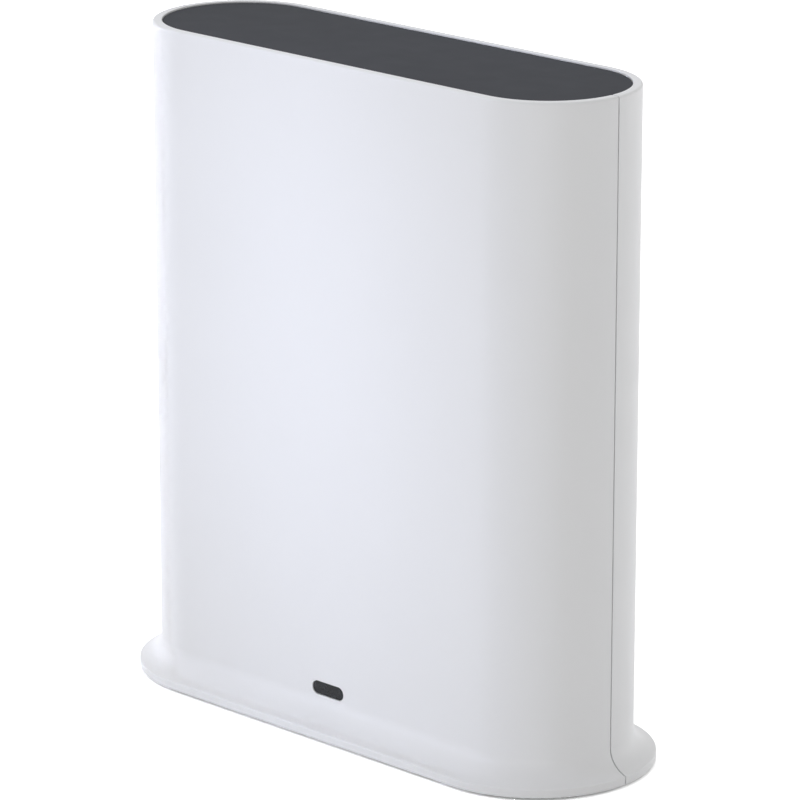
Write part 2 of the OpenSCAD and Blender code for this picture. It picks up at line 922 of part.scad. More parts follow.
module power_coils() {
    color([0.2, 0.2, 0.21]) for (x = coil_x) on_board(x, coil_z, coil_size, board_rear, 1);
}

module capacitors() {
    color([0.7, 0.7, 0.74]) for (x = capacitor_x)
        rod_y(x, capacitor_z, capacitor_diameter, board_rear, board_rear + capacitor_length);
}

module aerial(side) {
    size = [aerial_width, aerial_thickness, aerial_height];
    difference() {
        on_board(side * aerial_x, aerial_z, size, board_rear, -1);
        for (step = [-1, 1])
            rod_y(side * aerial_x + step * aerial_hole_x, aerial_z, aerial_peg + 2 * rest_gap,
                  board_front - over, board_rear + over);
    }
}

// Folded copper track on the rear face of an aerial
module aerial_trace(side) {
    rise = aerial_height - 2 * trace_inset;
    along_y(board_rear, board_rear + trace_thickness) translate([side * aerial_x, aerial_z]) {
        for (step = [-1, 1])
            translate([step * trace_span / 2, 0]) square([trace_width, rise], center = true);
        translate([0, (rise - trace_width) / 2]) square([trace_span, trace_width], center = true);
    }
}

module left_aerial() {
    color([0.05, 0.28, 0.16]) aerial(-1);
}

module right_aerial() {
    color([0.05, 0.28, 0.16]) aerial(1);
}

module left_aerial_trace() {
    color([0.8, 0.5, 0.3]) aerial_trace(-1);
}

module right_aerial_trace() {
    color([0.8, 0.5, 0.3]) aerial_trace(1);
}

// Quarter bend of a lead round a centre
module lead_bend(centre, turn) {
    translate(centre) rotate(turn) rotate_extrude(angle = 90)
        translate([bend_radius, 0]) circle(d = lead_diameter);
}

// Coaxial lead: out of the aerial, down, across, and down again into its plug on the board
module aerial_lead(side) {
    feed_x = side * lead_feed_x;
    socket_x = side * lead_socket_x;
    inwards = side > 0 ? 0 : 180;
    run = lead_feed_x - lead_socket_x - 2 * bend_radius;
    rod_y(feed_x, lead_feed_z, lead_diameter, board_rear + trace_thickness, lead_y - bend_radius);
    lead_bend([feed_x, lead_y - bend_radius, lead_feed_z - bend_radius], [0, -90, 0]);
    translate([feed_x, lead_y, lead_turn_z + bend_radius])
        cylinder(d = lead_diameter, h = lead_feed_z - lead_turn_z - 2 * bend_radius);
    lead_bend([feed_x - side * bend_radius, lead_y, lead_turn_z + bend_radius], [-90, 0, inwards]);
    translate([feed_x - side * bend_radius, lead_y, lead_turn_z]) rotate([0, -90 * side, 0])
        cylinder(d = lead_diameter, h = run);
    lead_bend([socket_x + side * bend_radius, lead_y, lead_turn_z - bend_radius], [90, 0, 180 - inwards]);
    translate([socket_x, lead_y, lead_socket_z])
        cylinder(d = lead_diameter, h = lead_turn_z - bend_radius - lead_socket_z);
    rod_y(socket_x, lead_socket_z, plug_cap, board_rear + socket_cap_depth,
          lead_y + lead_diameter / 2 + plug_cap_cover);
}

module left_aerial_lead() {
    color([0.1, 0.1, 0.11]) aerial_lead(-1);
}

module right_aerial_lead() {
    color([0.1, 0.1, 0.11]) aerial_lead(1);
}

module aerial_sockets() {
    color([0.85, 0.68, 0.3]) for (side = [-1, 1])
        rod_y(side * lead_socket_x, lead_socket_z, socket_cap, board_rear, board_rear + socket_cap_depth);
}

front_shell();
rear_shell();
top_panel();
base_plate();
rubber_feet();
base_screws();
status_window();
light_pipe();
status_light();
socket_panel();
sync_button();
sync_switch();
sync_switch_actuator();
reset_plunger();
reset_switch();
reset_switch_actuator();
main_board();
board_screws();
processor();
thermal_pad();
heat_sink();
heat_sink_pins();
radio_shield();
radio_chip();
memory_chips();
flash_chip();
crystal();
network_socket_shield();
network_socket_body();
network_contacts();
network_coupler();
storage_socket_shell();
storage_socket_tongue();
storage_contacts();
power_socket();
power_socket_pin();
power_coils();
capacitors();
left_aerial();
right_aerial();
left_aerial_trace();
right_aerial_trace();
left_aerial_lead();
right_aerial_lead();
aerial_sockets();
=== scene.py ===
"""Looks of a base station for wireless security cameras.

An upright hub stands on a flared foot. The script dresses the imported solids: it models the white casing,
the dark top cover, the lens of the status light, the foot and the rear sockets as finished meshes, gives
every inner piece a worked finish, and sets a pale studio round them.
Lengths are in millimetres until a mesh is made, and in metres from there on.
"""

from __future__ import annotations

import json
import logging
import math
from dataclasses import dataclass, field
from enum import Enum
from typing import Any, Callable, Protocol, Sequence

import bmesh
import bpy
from mathutils import Matrix, Vector

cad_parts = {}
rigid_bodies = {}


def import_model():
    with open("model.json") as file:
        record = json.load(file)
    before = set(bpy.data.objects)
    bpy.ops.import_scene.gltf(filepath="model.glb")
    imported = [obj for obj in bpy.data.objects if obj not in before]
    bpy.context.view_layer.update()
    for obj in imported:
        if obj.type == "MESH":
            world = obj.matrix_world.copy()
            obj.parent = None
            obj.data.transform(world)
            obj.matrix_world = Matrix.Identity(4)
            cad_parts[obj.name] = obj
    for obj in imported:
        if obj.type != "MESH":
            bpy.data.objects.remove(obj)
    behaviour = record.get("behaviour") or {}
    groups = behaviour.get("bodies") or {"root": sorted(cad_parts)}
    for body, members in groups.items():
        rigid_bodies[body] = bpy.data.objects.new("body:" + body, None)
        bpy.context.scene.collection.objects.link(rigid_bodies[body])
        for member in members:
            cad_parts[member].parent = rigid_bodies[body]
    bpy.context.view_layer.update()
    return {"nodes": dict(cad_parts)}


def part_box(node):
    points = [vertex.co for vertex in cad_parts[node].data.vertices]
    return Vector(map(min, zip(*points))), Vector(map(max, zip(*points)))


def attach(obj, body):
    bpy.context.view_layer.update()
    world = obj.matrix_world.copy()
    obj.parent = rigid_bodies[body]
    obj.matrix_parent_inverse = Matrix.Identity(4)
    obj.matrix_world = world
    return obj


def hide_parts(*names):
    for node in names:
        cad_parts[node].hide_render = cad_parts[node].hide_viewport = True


log = logging.getLogger("base_station")

Point2 = tuple[float, float]
Point3 = tuple[float, float, float]
Colour = tuple[float, float, float]
Level = tuple[float, float]

MM = 0.001
ORIGIN: Point2 = (0.0, 0.0)
WHITE = (1.0, 1.0, 1.0, 1.0)
ROUND_STEPS = 5
SMALL_STEPS = 32
NOISE_LOW = 0.3
NOISE_HIGH = 0.7
SHARP_ANGLE = math.radians(35)
MERGE_DISTANCE = 1e-7
CUT_PAST = 0.5
MOUTH_TURN = math.radians(80)
QUARTER = math.pi / 2
HUB = "hub"
SYNC_KEY = "sync_key"


class Half(Enum):
    """The two halves of the casing, by the direction that they face along Y."""

    FRONT = -1
    REAR = 1


class Facing(Enum):
    """Direction in which the levels of a raised outline rise."""

    FRONT = "front"
    REAR = "rear"
    UP = "up"
    DOWN = "down"

    def place(self, across: float, along: float, depth: float) -> Point3:
        """Place of a point of an outline.

        Args:
            across: Distance along X.
            along: Distance along Z on an upright face, or along Y on a flat one.
            depth: Distance from the origin in the direction faced.

        Returns:
            The point in the frame of the object.
        """
        if self is Facing.FRONT:
            return across, -depth, along
        if self is Facing.REAR:
            return across, depth, along
        if self is Facing.UP:
            return across, along, depth
        return across, along, -depth


class Merge(Enum):
    """How a second solid changes the first."""

    CUT = "DIFFERENCE"
    FUSE = "UNION"


def arc(start: float, end: float, steps: int) -> list[float]:
    """Values from start to end in equal steps, with both ends."""
    return [start + (end - start) * i / steps for i in range(steps + 1)]


def bend(start: Point2, corner: Point2, end: Point2, steps: int) -> list[Point2]:
    """Points of a smooth bend.

    Args:
        start: First point.
        corner: Point that the bend is drawn towards.
        end: Last point.
        steps: Number of steps along the bend.

    Returns:
        The points, with both ends.
    """
    points = []
    for t in arc(0, 1, steps):
        weights = ((1 - t) ** 2, 2 * t * (1 - t), t ** 2)
        points.append(tuple(sum(w * p[i] for w, p in zip(weights, (start, corner, end))) for i in (0, 1)))
    return points


class Outline(Protocol):
    """Closed outline that can be drawn larger or smaller by an inset."""

    def points(self, inset: float) -> list[Point2]:
        """Points of the outline, drawn in by the inset."""


@dataclass(frozen=True)
class Slot:
    """Outline with a straight middle and a round end on each side."""

    width: float
    height: float
    steps: int = 48

    def points(self, inset: float) -> list[Point2]:
        """Points of the slot.

        Args:
            inset: How far the outline is drawn in.

        Returns:
            The points, in order round the outline.
        """
        radius = self.height / 2 - inset
        straight = (self.width - self.height) / 2
        right = [(straight + radius * math.cos(a), radius * math.sin(a))
                 for a in arc(-QUARTER, QUARTER, self.steps)]
        left = [(-x, -y) for x, y in right]
        return right + left


@dataclass(frozen=True)
class Upright:
    """A slot turned by a quarter."""

    slot: Slot

    def points(self, inset: float) -> list[Point2]:
        """Points of the turned slot, drawn in by the inset."""
        return [(-y, x) for x, y in self.slot.points(inset)]


@dataclass(frozen=True)
class Disc:
    """Round outline."""

    diameter: float
    steps: int = 64

    def points(self, inset: float) -> list[Point2]:
        """Points of the circle, drawn in by the inset."""
        radius = self.diameter / 2 - inset
        return [(radius * math.cos(a), radius * math.sin(a)) for a in arc(0, math.tau, self.steps)[:-1]]


@dataclass(frozen=True)
class RoundedBox:
    """Rectangle with rounded corners."""

    width: float
    height: float
    corner: float
    least_share: float = 0.1

    def points(self, inset: float) -> list[Point2]:
        """Points of the rectangle.

        Args:
            inset: How far the outline is drawn in.

        Returns:
            The points, in order round the outline.
        """
        corner = max(self.corner - inset, self.corner * self.least_share)
        across = self.width / 2 - inset - corner
        along = self.height / 2 - inset - corner
        corners = ((across, along), (-across, along), (-across, -along), (across, -along))
        return [(x + corner * math.cos(a), y + corner * math.sin(a))
                for turn, (x, y) in enumerate(corners)
                for a in arc(turn * QUARTER, (turn + 1) * QUARTER, ROUND_STEPS)]


@dataclass(frozen=True)
class KeyedBox:
    """Rectangle with a narrower key below it, as the mouth of a network socket has."""

    width: float
    height: float
    key_width: float
    key_height: float

    def points(self, inset: float) -> list[Point2]:
        """Points of the keyed rectangle.

        Args:
            inset: How far the outline is drawn in.

        Returns:
            The points, in order round the outline.
        """
        across = self.width / 2 - inset
        top = self.height / 2 - inset
        step = -self.height / 2 + inset
        key = self.key_width / 2 - inset
        bottom = -self.height / 2 - self.key_height + inset
        right = [(key, bottom), (key, step), (across, step), (across, top)]
        left = [(-x, y) for x, y in reversed(right)]
        return right + left


@dataclass
class Solid:
    """Points and faces of a closed shape, in millimetres."""

    points: list[Point3] = field(default_factory=list)
    faces: list[tuple[int, ...]] = field(default_factory=list)

    def join(self, other: Solid) -> Solid:
        """Adds another shape.

        Args:
            other: Shape whose points and faces are added.

        Returns:
            This shape.
        """
        start = len(self.points)
        self.points.extend(other.points)
        self.faces.extend(tuple(start + i for i in face) for face in other.faces)
        return self

    def band(self, first: int, second: int, count: int, closed: bool = True) -> None:
        """Adds the faces between two rows of points.

        Args:
            first: Index of the first point of one row.
            second: Index of the first point of the other row.
            count: Number of points in a row.
            closed: Whether the last point is joined to the first.
        """
        for i in range(count if closed else count - 1):
            j = (i + 1) % count
            self.faces.append((first + i, first + j, second + j, second + i))

    def close_rows(self, count: int) -> Solid:
        """Joins closed rows of points in order, with a face over the first and the last.

        Args:
            count: Number of points in a row.

        Returns:
            This shape.
        """
        last = len(self.points) - count
        for start in range(0, last, count):
            self.band(start, start + count, count)
        self.faces.append(tuple(range(count)))
        self.faces.append(tuple(range(last, last + count)))
        return self


def prism_levels(back: float, face: float, back_round: float = 0.0, face_round: float = 0.0) -> list[Level]:
    """Levels of a prism with rounded edges.

    Args:
        back: Depth of the back.
        face: Depth of the face.
        back_round: Rounding of the edge at the back.
        face_round: Rounding of the edge of the face.

    Returns:
        Pairs of inset and depth, from the back to the face.
    """
    levels = [(0.0, back)]
    if back_round:
        levels = [(back_round * (1 - math.cos(a)), back + back_round * (1 - math.sin(a)))
                  for a in arc(QUARTER, 0, ROUND_STEPS)]
    if face_round:
        return levels + [(face_round * (1 - math.cos(a)), face - face_round * (1 - math.sin(a)))
                         for a in arc(0, QUARTER, ROUND_STEPS)]
    return levels + [(0.0, face)]


def mouth_levels(inner: float, face: float, flare: float) -> list[Level]:
    """Levels of a cutter with a flared mouth, which leaves a rounded edge round the hole.

    Args:
        inner: Depth at which the cut starts.
        face: Depth of the face that it opens.
        flare: Rounding of the edge that it leaves.

    Returns:
        Pairs of inset and depth, from the inside outwards.
    """
    levels = [(0.0, inner)]
    for a in arc(0, MOUTH_TURN, ROUND_STEPS):
        levels.append((flare * (math.cos(a) - 1), face - flare * (1 - math.sin(a))))
    levels.append((-flare, face + CUT_PAST))
    return levels


def loft(outline: Outline, centre: Point2, facing: Facing, levels: Sequence[Level]) -> Solid:
    """Closed shape through the same outline at several levels.

    Args:
        outline: Outline that is drawn at each level.
        centre: Place of the outline's middle.
        facing: Direction in which the levels rise.
        levels: Pairs of inset and depth.

    Returns:
        The shape, with flat ends.
    """
    solid = Solid([facing.place(centre[0] + a, centre[1] + b, depth)
                   for inset, depth in levels for a, b in outline.points(inset)])
    return solid.close_rows(len(solid.points) // len(levels))


def turned(profile: Sequence[Point2], centre: Point2, facing: Facing, steps: int = 64) -> Solid:
    """Closed shape turned round an axis.

    Args:
        profile: Pairs of radius and depth, which start and end on the axis or go round a ring.
        centre: Place of the axis.
        facing: Direction of the axis.
        steps: Number of steps in the full turn.

    Returns:
        The turned shape.
    """
    solid = Solid()
    count = len(profile)
    for a in arc(0, math.tau, steps)[:-1]:
        solid.points.extend(facing.place(centre[0] + r * math.cos(a), centre[1] + r * math.sin(a), depth)
                            for r, depth in profile)
    ring = profile[0][0] > 0
    for i in range(steps):
        solid.band(i * count, (i + 1) % steps * count, count, closed=ring)
    return solid


def plate(low: Point3, high: Point3, corner: float) -> Solid:
    """Box between two corners, with rounded upright edges and softened ends.

    Args:
        low: Lowest corner.
        high: Highest corner.
        corner: Rounding of the upright edges.

    Returns:
        The box.
    """
    outline = RoundedBox(high[0] - low[0], high[1] - low[1], corner)
    centre = ((low[0] + high[0]) / 2, (low[1] + high[1]) / 2)
    return loft(outline, centre, Facing.UP, prism_levels(low[2], high[2], corner / 2, corner / 2))


def ribbon(path: Sequence[Point2], middle: float, width: float, thickness: float) -> Solid:
    """Bent strip along a path in an upright plane.

    Args:
        path: Pairs of place along Y and height.
        middle: Place of the strip's middle along X.
        width: Width of the strip along X.
        thickness: Thickness of the strip.

    Returns:
        The strip.
    """
    solid = Solid()
    last = len(path) - 1
    corners = ((-1, -1), (1, -1), (1, 1), (-1, 1))
    for i, (y, z) in enumerate(path):
        before, after = path[max(i - 1, 0)], path[min(i + 1, last)]
        across = Vector((before[1] - after[1], after[0] - before[0])).normalized() * thickness / 2
        for side, lift in corners:
            solid.points.append((middle + side * width / 2, y + lift * across.x, z + lift * across.y))
    return solid.close_rows(len(corners))


@dataclass(frozen=True)
class NodeBox:
    """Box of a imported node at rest, in millimetres."""

    low: Point3
    high: Point3

    @classmethod
    def of(cls, node: str) -> NodeBox:
        """Box of the node with that name."""
        low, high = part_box(node)
        return cls(tuple(v / MM for v in low), tuple(v / MM for v in high))

    @property
    def centre(self) -> Point3:
        """Middle of the box."""
        return tuple((a + b) / 2 for a, b in zip(self.low, self.high))

    @property
    def spot(self) -> Point2:
        """Middle of the box across and up, as seen from the front or the rear."""
        return self.centre[0], self.centre[2]

    @property
    def size(self) -> Point3:
        """Extent of the box along X, Y and Z."""
        return tuple(b - a for a, b in zip(self.low, self.high))


def new_object(name: str, mesh: bpy.types.Mesh) -> bpy.types.Object:
    """Object at the origin that shows a mesh, linked to the scene.

    Args:
        name: Name of the object.
        mesh: Mesh that it shows.

    Returns:
        The object.
    """
    obj = bpy.data.objects.new(name, mesh)
    bpy.context.scene.collection.objects.link(obj)
    return obj


def tidy_mesh(mesh: bpy.types.Mesh) -> None:
    """Merges doubled points and turns the faces outwards.

    Args:
        mesh: Mesh that is changed.
    """
    work = bmesh.new()
    work.from_mesh(mesh)
    bmesh.ops.remove_doubles(work, verts=work.verts, dist=MERGE_DISTANCE)
    bmesh.ops.recalc_face_normals(work, faces=work.faces)
    work.to_mesh(mesh)
    work.free()


def solid_object(name: str, solid: Solid) -> bpy.types.Object:
    """Makes an object from a shape.

    Args:
        name: Name of the object.
        solid: Closed shape in millimetres.

    Returns:
        The object, with its place in its mesh.
    """
    mesh = bpy.data.meshes.new(name)
    mesh.from_pydata([tuple(v * MM for v in p) for p in solid.points], [], solid.faces)
    tidy_mesh(mesh)
    return new_object(name, mesh)


def remove_object(obj: bpy.types.Object) -> None:
    """Removes an object with its mesh.

    Args:
        obj: Object that is removed.
    """
    mesh = obj.data
    bpy.data.objects.remove(obj)
    bpy.data.meshes.remove(mesh)


def settle(obj: bpy.types.Object) -> None:
    """Turns an object's modifiers into plain mesh.

    Args:
        obj: Object that keeps the result.
    """
    graph = bpy.context.evaluated_depsgraph_get()
    mesh = bpy.data.meshes.new_from_object(obj.evaluated_get(graph))
    old = obj.data
    obj.modifiers.clear()
    obj.data = mesh
    bpy.data.meshes.remove(old)
    mesh.name = obj.name


def merge(obj: bpy.types.Object, tool: bpy.types.Object, how: Merge) -> None:
    """Cuts an object by another, or fuses the two, and removes the second.

    Args:
        obj: Object that is changed.
        tool: Object that cuts it or is fused to it.
        how: Whether to cut or to fuse.
    """
    modifier = obj.modifiers.new(how.name, "BOOLEAN")
    modifier.operation = how.value
    modifier.solver = "EXACT"
    modifier.object = tool
    settle(obj)
    remove_object(tool)


def merge_solid(obj: bpy.types.Object, solid: Solid, how: Merge) -> None:
    """Cuts an object by a shape, or fuses the two."""
    merge(obj, solid_object("tool", solid), how)


def smooth(obj: bpy.types.Object) -> None:
    """Shades an object smooth up to its sharp edges, with flat faces kept flat.

    Args:
        obj: Object that is shaded.
    """
    obj.data.shade_smooth()
    obj.data.set_sharp_from_angle(angle=SHARP_ANGLE)
    modifier = obj.modifiers.new("flat_faces", "WEIGHTED_NORMAL")
    modifier.keep_sharp = True
    settle(obj)


class NodeWork:
    """Short calls for adding and joining the nodes of a tree."""

    def __init__(self, tree: bpy.types.NodeTree) -> None:
        """Starts with an empty tree."""
        self.tree = tree
        tree.nodes.clear()

    def add(self, kind: str, inputs: dict[str, Any] | None = None, **settings: Any) -> bpy.types.Node:
        """Adds a node.

        Args:
            kind: Type of the node.
            inputs: Values or outgoing sockets for its inputs, by name.
            settings: Properties of the node.

        Returns:
            The node.
        """
        node = self.tree.nodes.new(kind)
        for key, value in settings.items():
            setattr(node, key, value)
        for key, value in (inputs or {}).items():
            self.feed(node.inputs[key], value)
        return node

    def feed(self, socket: bpy.types.NodeSocket, value: Any) -> None:
        """Sets an input to a value, or joins an outgoing socket to it.

        Args:
            socket: Input of a node.
            value: Value, or socket that feeds it.
        """
        if isinstance(value, bpy.types.NodeSocket):
            self.tree.links.new(value, socket)
        else:
            socket.default_value = value


class FinishWork(NodeWork):
    """Node tree of one material, with the textures that the finishes share."""

    def __init__(self, name: str) -> None:
        """Makes the material with its shader and output.

        Args:
            name: Name of the material.
        """
        self.material = bpy.data.materials.new(name)
        self.material.use_nodes = True
        super().__init__(self.material.node_tree)
        self.shader = self.add("ShaderNodeBsdfPrincipled")
        self.add("ShaderNodeOutputMaterial", {"Surface": self.shader.outputs["BSDF"]})
        self.place = self.add("ShaderNodeTexCoord").outputs["Object"]

    def set(self, **inputs: Any) -> None:
        """Sets inputs of the shader, with underscores for the spaces in their names."""
        for key, value in inputs.items():
            self.feed(self.shader.inputs[key.replace("_", " ")], value)

    def noise(self, size: float, detail: float = 2.0,
              stretch: Point3 = (1.0, 1.0, 1.0)) -> bpy.types.NodeSocket:
        """Soft noise.

        Args:
            size: Size of one blot, in millimetres.
            detail: Number of finer layers.
            stretch: Scale along X, Y and Z, below 1 to draw the blots out.

        Returns:
            Socket with a value about one half.
        """
        mapping = self.add("ShaderNodeMapping", {"Vector": self.place, "Scale": stretch})
        node = self.add("ShaderNodeTexNoise", {"Vector": mapping.outputs["Vector"], "Scale": 1 / (size * MM),
                                               "Detail": detail})
        return node.outputs["Fac"]

    def spread(self, value: bpy.types.NodeSocket, low: float, high: float) -> bpy.types.NodeSocket:
        """Spreads the middle of a noise over a range of values.

        Args:
            value: Socket with the noise.
            low: Value where the noise is low.
            high: Value where it is high.

        Returns:
            Socket with the spread value.
        """
        node = self.add("ShaderNodeMapRange", {"Value": value, "From Min": NOISE_LOW, "From Max": NOISE_HIGH,
                                               "To Min": low, "To Max": high})
        return node.outputs["Result"]

    def ramp(self, value: bpy.types.NodeSocket, first: Colour, second: Colour,
             start: float = NOISE_LOW, end: float = NOISE_HIGH) -> bpy.types.NodeSocket:
        """Blends two colours.

        Args:
            value: Socket that chooses between them.
            first: Colour up to the start.
            second: Colour from the end.
            start: Value at which the blend starts.
            end: Value at which it ends.

        Returns:
            Socket with the colour.
        """
        node = self.add("ShaderNodeValToRGB", {"Fac": value})
        low, high = node.color_ramp.elements
        low.position = start
        high.position = end
        low.color = (*first, 1.0)
        high.color = (*second, 1.0)
        return node.outputs["Color"]

    def relief(self, height: bpy.types.NodeSocket, depth: float, strength: float) -> None:
        """Raises the surface by a height socket, with the depth in millimetres."""
        node = self.add("ShaderNodeBump", {"Height": height, "Distance": depth * MM, "Strength": strength})
        self.set(Normal=node.outputs["Normal"])


def shaded(colour: Colour, factor: float) -> Colour:
    """A colour made lighter or darker by a factor."""
    return tuple(min(1.0, c * factor) for c in colour)


@dataclass(frozen=True)
class Finish:
    """Surface finish of a piece, which makes its material once."""

    name: str
    colour: Colour
    roughness: float

    def material(self) -> bpy.types.Material:
        """Material of this finish, made when it is first asked for.

        Returns:
            The material.
        """
        found = bpy.data.materials.get(self.name)
        if found is not None:
            return found
        work = FinishWork(self.name)
        self.build(work)
        return work.material

    def build(self, work: FinishWork) -> None:
        """Adds the nodes of this finish to its material."""
        raise NotImplementedError

    def tint(self, work: FinishWork, pattern: bpy.types.NodeSocket, low: float, high: float) -> None:
        """Varies the colour with a pattern, from a low factor to a high one."""
        work.set(Base_Color=work.ramp(pattern, shaded(self.colour, low), shaded(self.colour, high)))

    def roughen(self, work: FinishWork, pattern: bpy.types.NodeSocket, less: float, more: float) -> None:
        """Varies the roughness with a pattern, from less to more than its own value."""
        work.set(Roughness=work.spread(pattern, self.roughness - less, self.roughness + more))

    def dress(self, obj: bpy.types.Object) -> None:
        """Gives an object this finish alone.

        Args:
            obj: Object that is dressed.
        """
        obj.data.materials.clear()
        obj.data.materials.append(self.material())
        for polygon in obj.data.polygons:
            polygon.material_index = 0


@dataclass(frozen=True)
class MouldedPlastic(Finish):
    """Moulded plastic with the fine spark texture of its tool.

    Attributes:
        grain: Size of the texture, in millimetres.
        relief: Depth of the texture, in millimetres.
        mottle: Share by which the colour varies.
        specular: Level of the reflection.
        mottle_size: Size of a patch of colour, in millimetres.
        gloss_size: Size of a patch of gloss, in millimetres.
        gloss_range: How far the roughness varies.
    """

    grain: float = 0.16
    relief: float = 0.006
    mottle: float = 0.012
    specular: float = 0.5
    mottle_size: float = 22.0
    gloss_size: float = 6.0
    gloss_range: float = 0.03

    def build(self, work: FinishWork) -> None:
        """Adds a faint mottle, an uneven gloss and the texture of the tool.

        Args:
            work: Material that the nodes go into.
        """
        self.tint(work, work.noise(self.mottle_size, detail=3.0), 1 - self.mottle, 1 + self.mottle)
        self.roughen(work, work.noise(self.gloss_size, detail=4.0), self.gloss_range, self.gloss_range)
        work.set(Specular_IOR_Level=self.specular)
        work.relief(work.noise(self.grain), self.relief, strength=0.5)


@dataclass(frozen=True)
class SmokedLens(Finish):
    """Dark polished plastic that lets a light behind it through."""

    flow_stretch: Point3 = (0.3, 1.0, 1.0)
    tint_range: float = 0.15
    gloss_range: float = 0.06
    specular: float = 0.22

    def build(self, work: FinishWork) -> None:
        """Adds depth to the tint, and the faint flow of a polished moulding.

        Args:
            work: Material that the nodes go into.
        """
        flow = work.noise(size=3.0, stretch=self.flow_stretch)
        self.tint(work, flow, 1 - self.tint_range, 1 + self.tint_range)
        self.roughen(work, work.noise(size=0.7, detail=3.0), 0.0, self.gloss_range)
        work.set(Specular_IOR_Level=self.specular)
        work.relief(flow, depth=0.01, strength=0.25)


@dataclass(frozen=True)
class SoftRubber(Finish):
    """Matt rubber or silicone with a dusty grain."""

    dust_factor: float = 1.6
    dust_start: float = 0.4
    dust_end: float = 0.75
    less_rough: float = 0.05
    more_rough: float = 0.08

    def build(self, work: FinishWork) -> None:
        """Adds dust to the colour and a grain to the surface.

        Args:
            work: Material that the nodes go into.
        """
        dust = work.noise(size=2.4, detail=6.0)
        dusty = shaded(self.colour, self.dust_factor)
        work.set(Base_Color=work.ramp(dust, self.colour, dusty, self.dust_start, self.dust_end))
        self.roughen(work, dust, self.less_rough, self.more_rough)
        work.relief(work.noise(size=0.22, detail=3.0), depth=0.02, strength=0.6)


@dataclass(frozen=True)
class PlatedMetal(Finish):
    """Plated or drawn metal with fine marks along one direction."""

    marks: Point3 = (1.0, 0.06, 1.0)
    mark_size: float = 0.09
    dull_factor: float = 0.88
    bright_factor: float = 1.06
    less_rough: float = 0.06
    more_rough: float = 0.12

    def build(self, work: FinishWork) -> None:
        """Adds drawn marks, and patches where the plating is duller.

        Args:
            work: Material that the nodes go into.
        """
        self.tint(work, work.noise(size=3.5, detail=5.0), self.dull_factor, self.bright_factor)
        work.set(Metallic=1.0)
        marks = work.noise(self.mark_size, stretch=self.marks)
        self.roughen(work, marks, self.less_rough, self.more_rough)
        work.relief(marks, depth=0.004, strength=0.35)


@dataclass(frozen=True)
class BoardLaminate(Finish):
    """Solder mask over glass laminate, with copper tracks that show through it."""

    pitch: float = 1.6
    track_share: float = 0.12
    run_share: float = 7.0
    bare_factor: float = 0.82
    track_factor: float = 1.9
    weave_size: float = 0.35
    weave_stretch: Point3 = (1.0, 1.0, 0.4)
    gloss_range: float = 0.06

    def build(self, work: FinishWork) -> None:
        """Adds tracks under the mask and the weave of the laminate.

        Args:
            work: Material that the nodes go into.
        """
        mapping = work.add("ShaderNodeMapping", {"Vector": work.place, "Rotation": (QUARTER, 0.0, 0.0)})
        row = self.pitch * MM
        bricks = work.add("ShaderNodeTexBrick", {
            "Vector": mapping.outputs["Vector"], "Scale": 1.0, "Mortar Size": row * self.track_share,
            "Mortar Smooth": 0.2, "Brick Width": row * self.run_share, "Row Height": row,
            "Color1": (*self.colour, 1.0), "Color2": (*shaded(self.colour, self.bare_factor), 1.0),
            "Mortar": (*shaded(self.colour, self.track_factor), 1.0)})
        work.set(Base_Color=bricks.outputs["Color"])
        weave = work.noise(self.weave_size, stretch=self.weave_stretch)
        self.roughen(work, weave, self.gloss_range, self.gloss_range)
        work.relief(weave, depth=0.01, strength=0.4)


@dataclass(frozen=True)
class ClearPlastic(Finish):
    """Clear moulded plastic of a light pipe."""

    haze_factor: float = 0.97
    gloss_range: float = 0.08

    def build(self, work: FinishWork) -> None:
        """Adds a faint haze to clear plastic.

        Args:
            work: Material that the nodes go into.
        """
        haze = work.noise(size=1.2, detail=3.0)
        self.tint(work, haze, self.haze_factor, 1.0)
        work.set(Transmission_Weight=0.9, IOR=1.49)
        self.roughen(work, haze, 0.0, self.gloss_range)
        work.relief(haze, depth=0.01, strength=0.2)


CASING_WHITE = MouldedPlastic("casing_white", (0.80, 0.803, 0.81), 0.48, mottle=0.004)
COVER_GREY = MouldedPlastic("cover_grey", (0.057, 0.0597, 0.0675), 0.8, grain=0.22, relief=0.012, mottle=0.03,
                            specular=0.1)
BASE_WHITE = MouldedPlastic("base_white", (0.70, 0.70, 0.71), 0.6, grain=0.3, relief=0.014, mottle=0.02)
BUTTON_WHITE = MouldedPlastic("button_white", (0.78, 0.783, 0.795), 0.4, grain=0.14)
PANEL_GREY = MouldedPlastic("panel_grey", (0.045, 0.046, 0.05), 0.55, grain=0.2, relief=0.012, mottle=0.06,
                            specular=0.4)
SOCKET_BLACK = MouldedPlastic("socket_black", (0.018, 0.018, 0.019), 0.42, grain=0.12, mottle=0.08)
SWITCH_BLACK = MouldedPlastic("switch_black", (0.03, 0.03, 0.032), 0.5, grain=0.1, mottle=0.08)
TONGUE_WHITE = MouldedPlastic("tongue_white", (0.74, 0.74, 0.73), 0.42, grain=0.12)
PIN_NYLON = MouldedPlastic("pin_nylon", (0.68, 0.66, 0.58), 0.5, grain=0.2, mottle=0.03)
CHIP_BLACK = MouldedPlastic("chip_black", (0.022, 0.022, 0.025), 0.66, grain=0.08, relief=0.01, mottle=0.12)
COIL_FERRITE = MouldedPlastic("coil_ferrite", (0.045, 0.045, 0.05), 0.7, grain=0.3, relief=0.03, mottle=0.2)
LIGHT_RESIN = MouldedPlastic("light_resin", (0.82, 0.79, 0.58), 0.3, grain=0.3, mottle=0.04)
LENS_SMOKE = SmokedLens("lens_smoke", (0.0075, 0.0086, 0.0105), 0.25)
FOOT_RUBBER = SoftRubber("foot_rubber", (0.022, 0.022, 0.024), 0.82)
LEAD_SHEATH = SoftRubber("lead_sheath", (0.016, 0.016, 0.018), 0.55)
PAD_SILICONE = SoftRubber("pad_silicone", (0.30, 0.36, 0.46), 0.75)
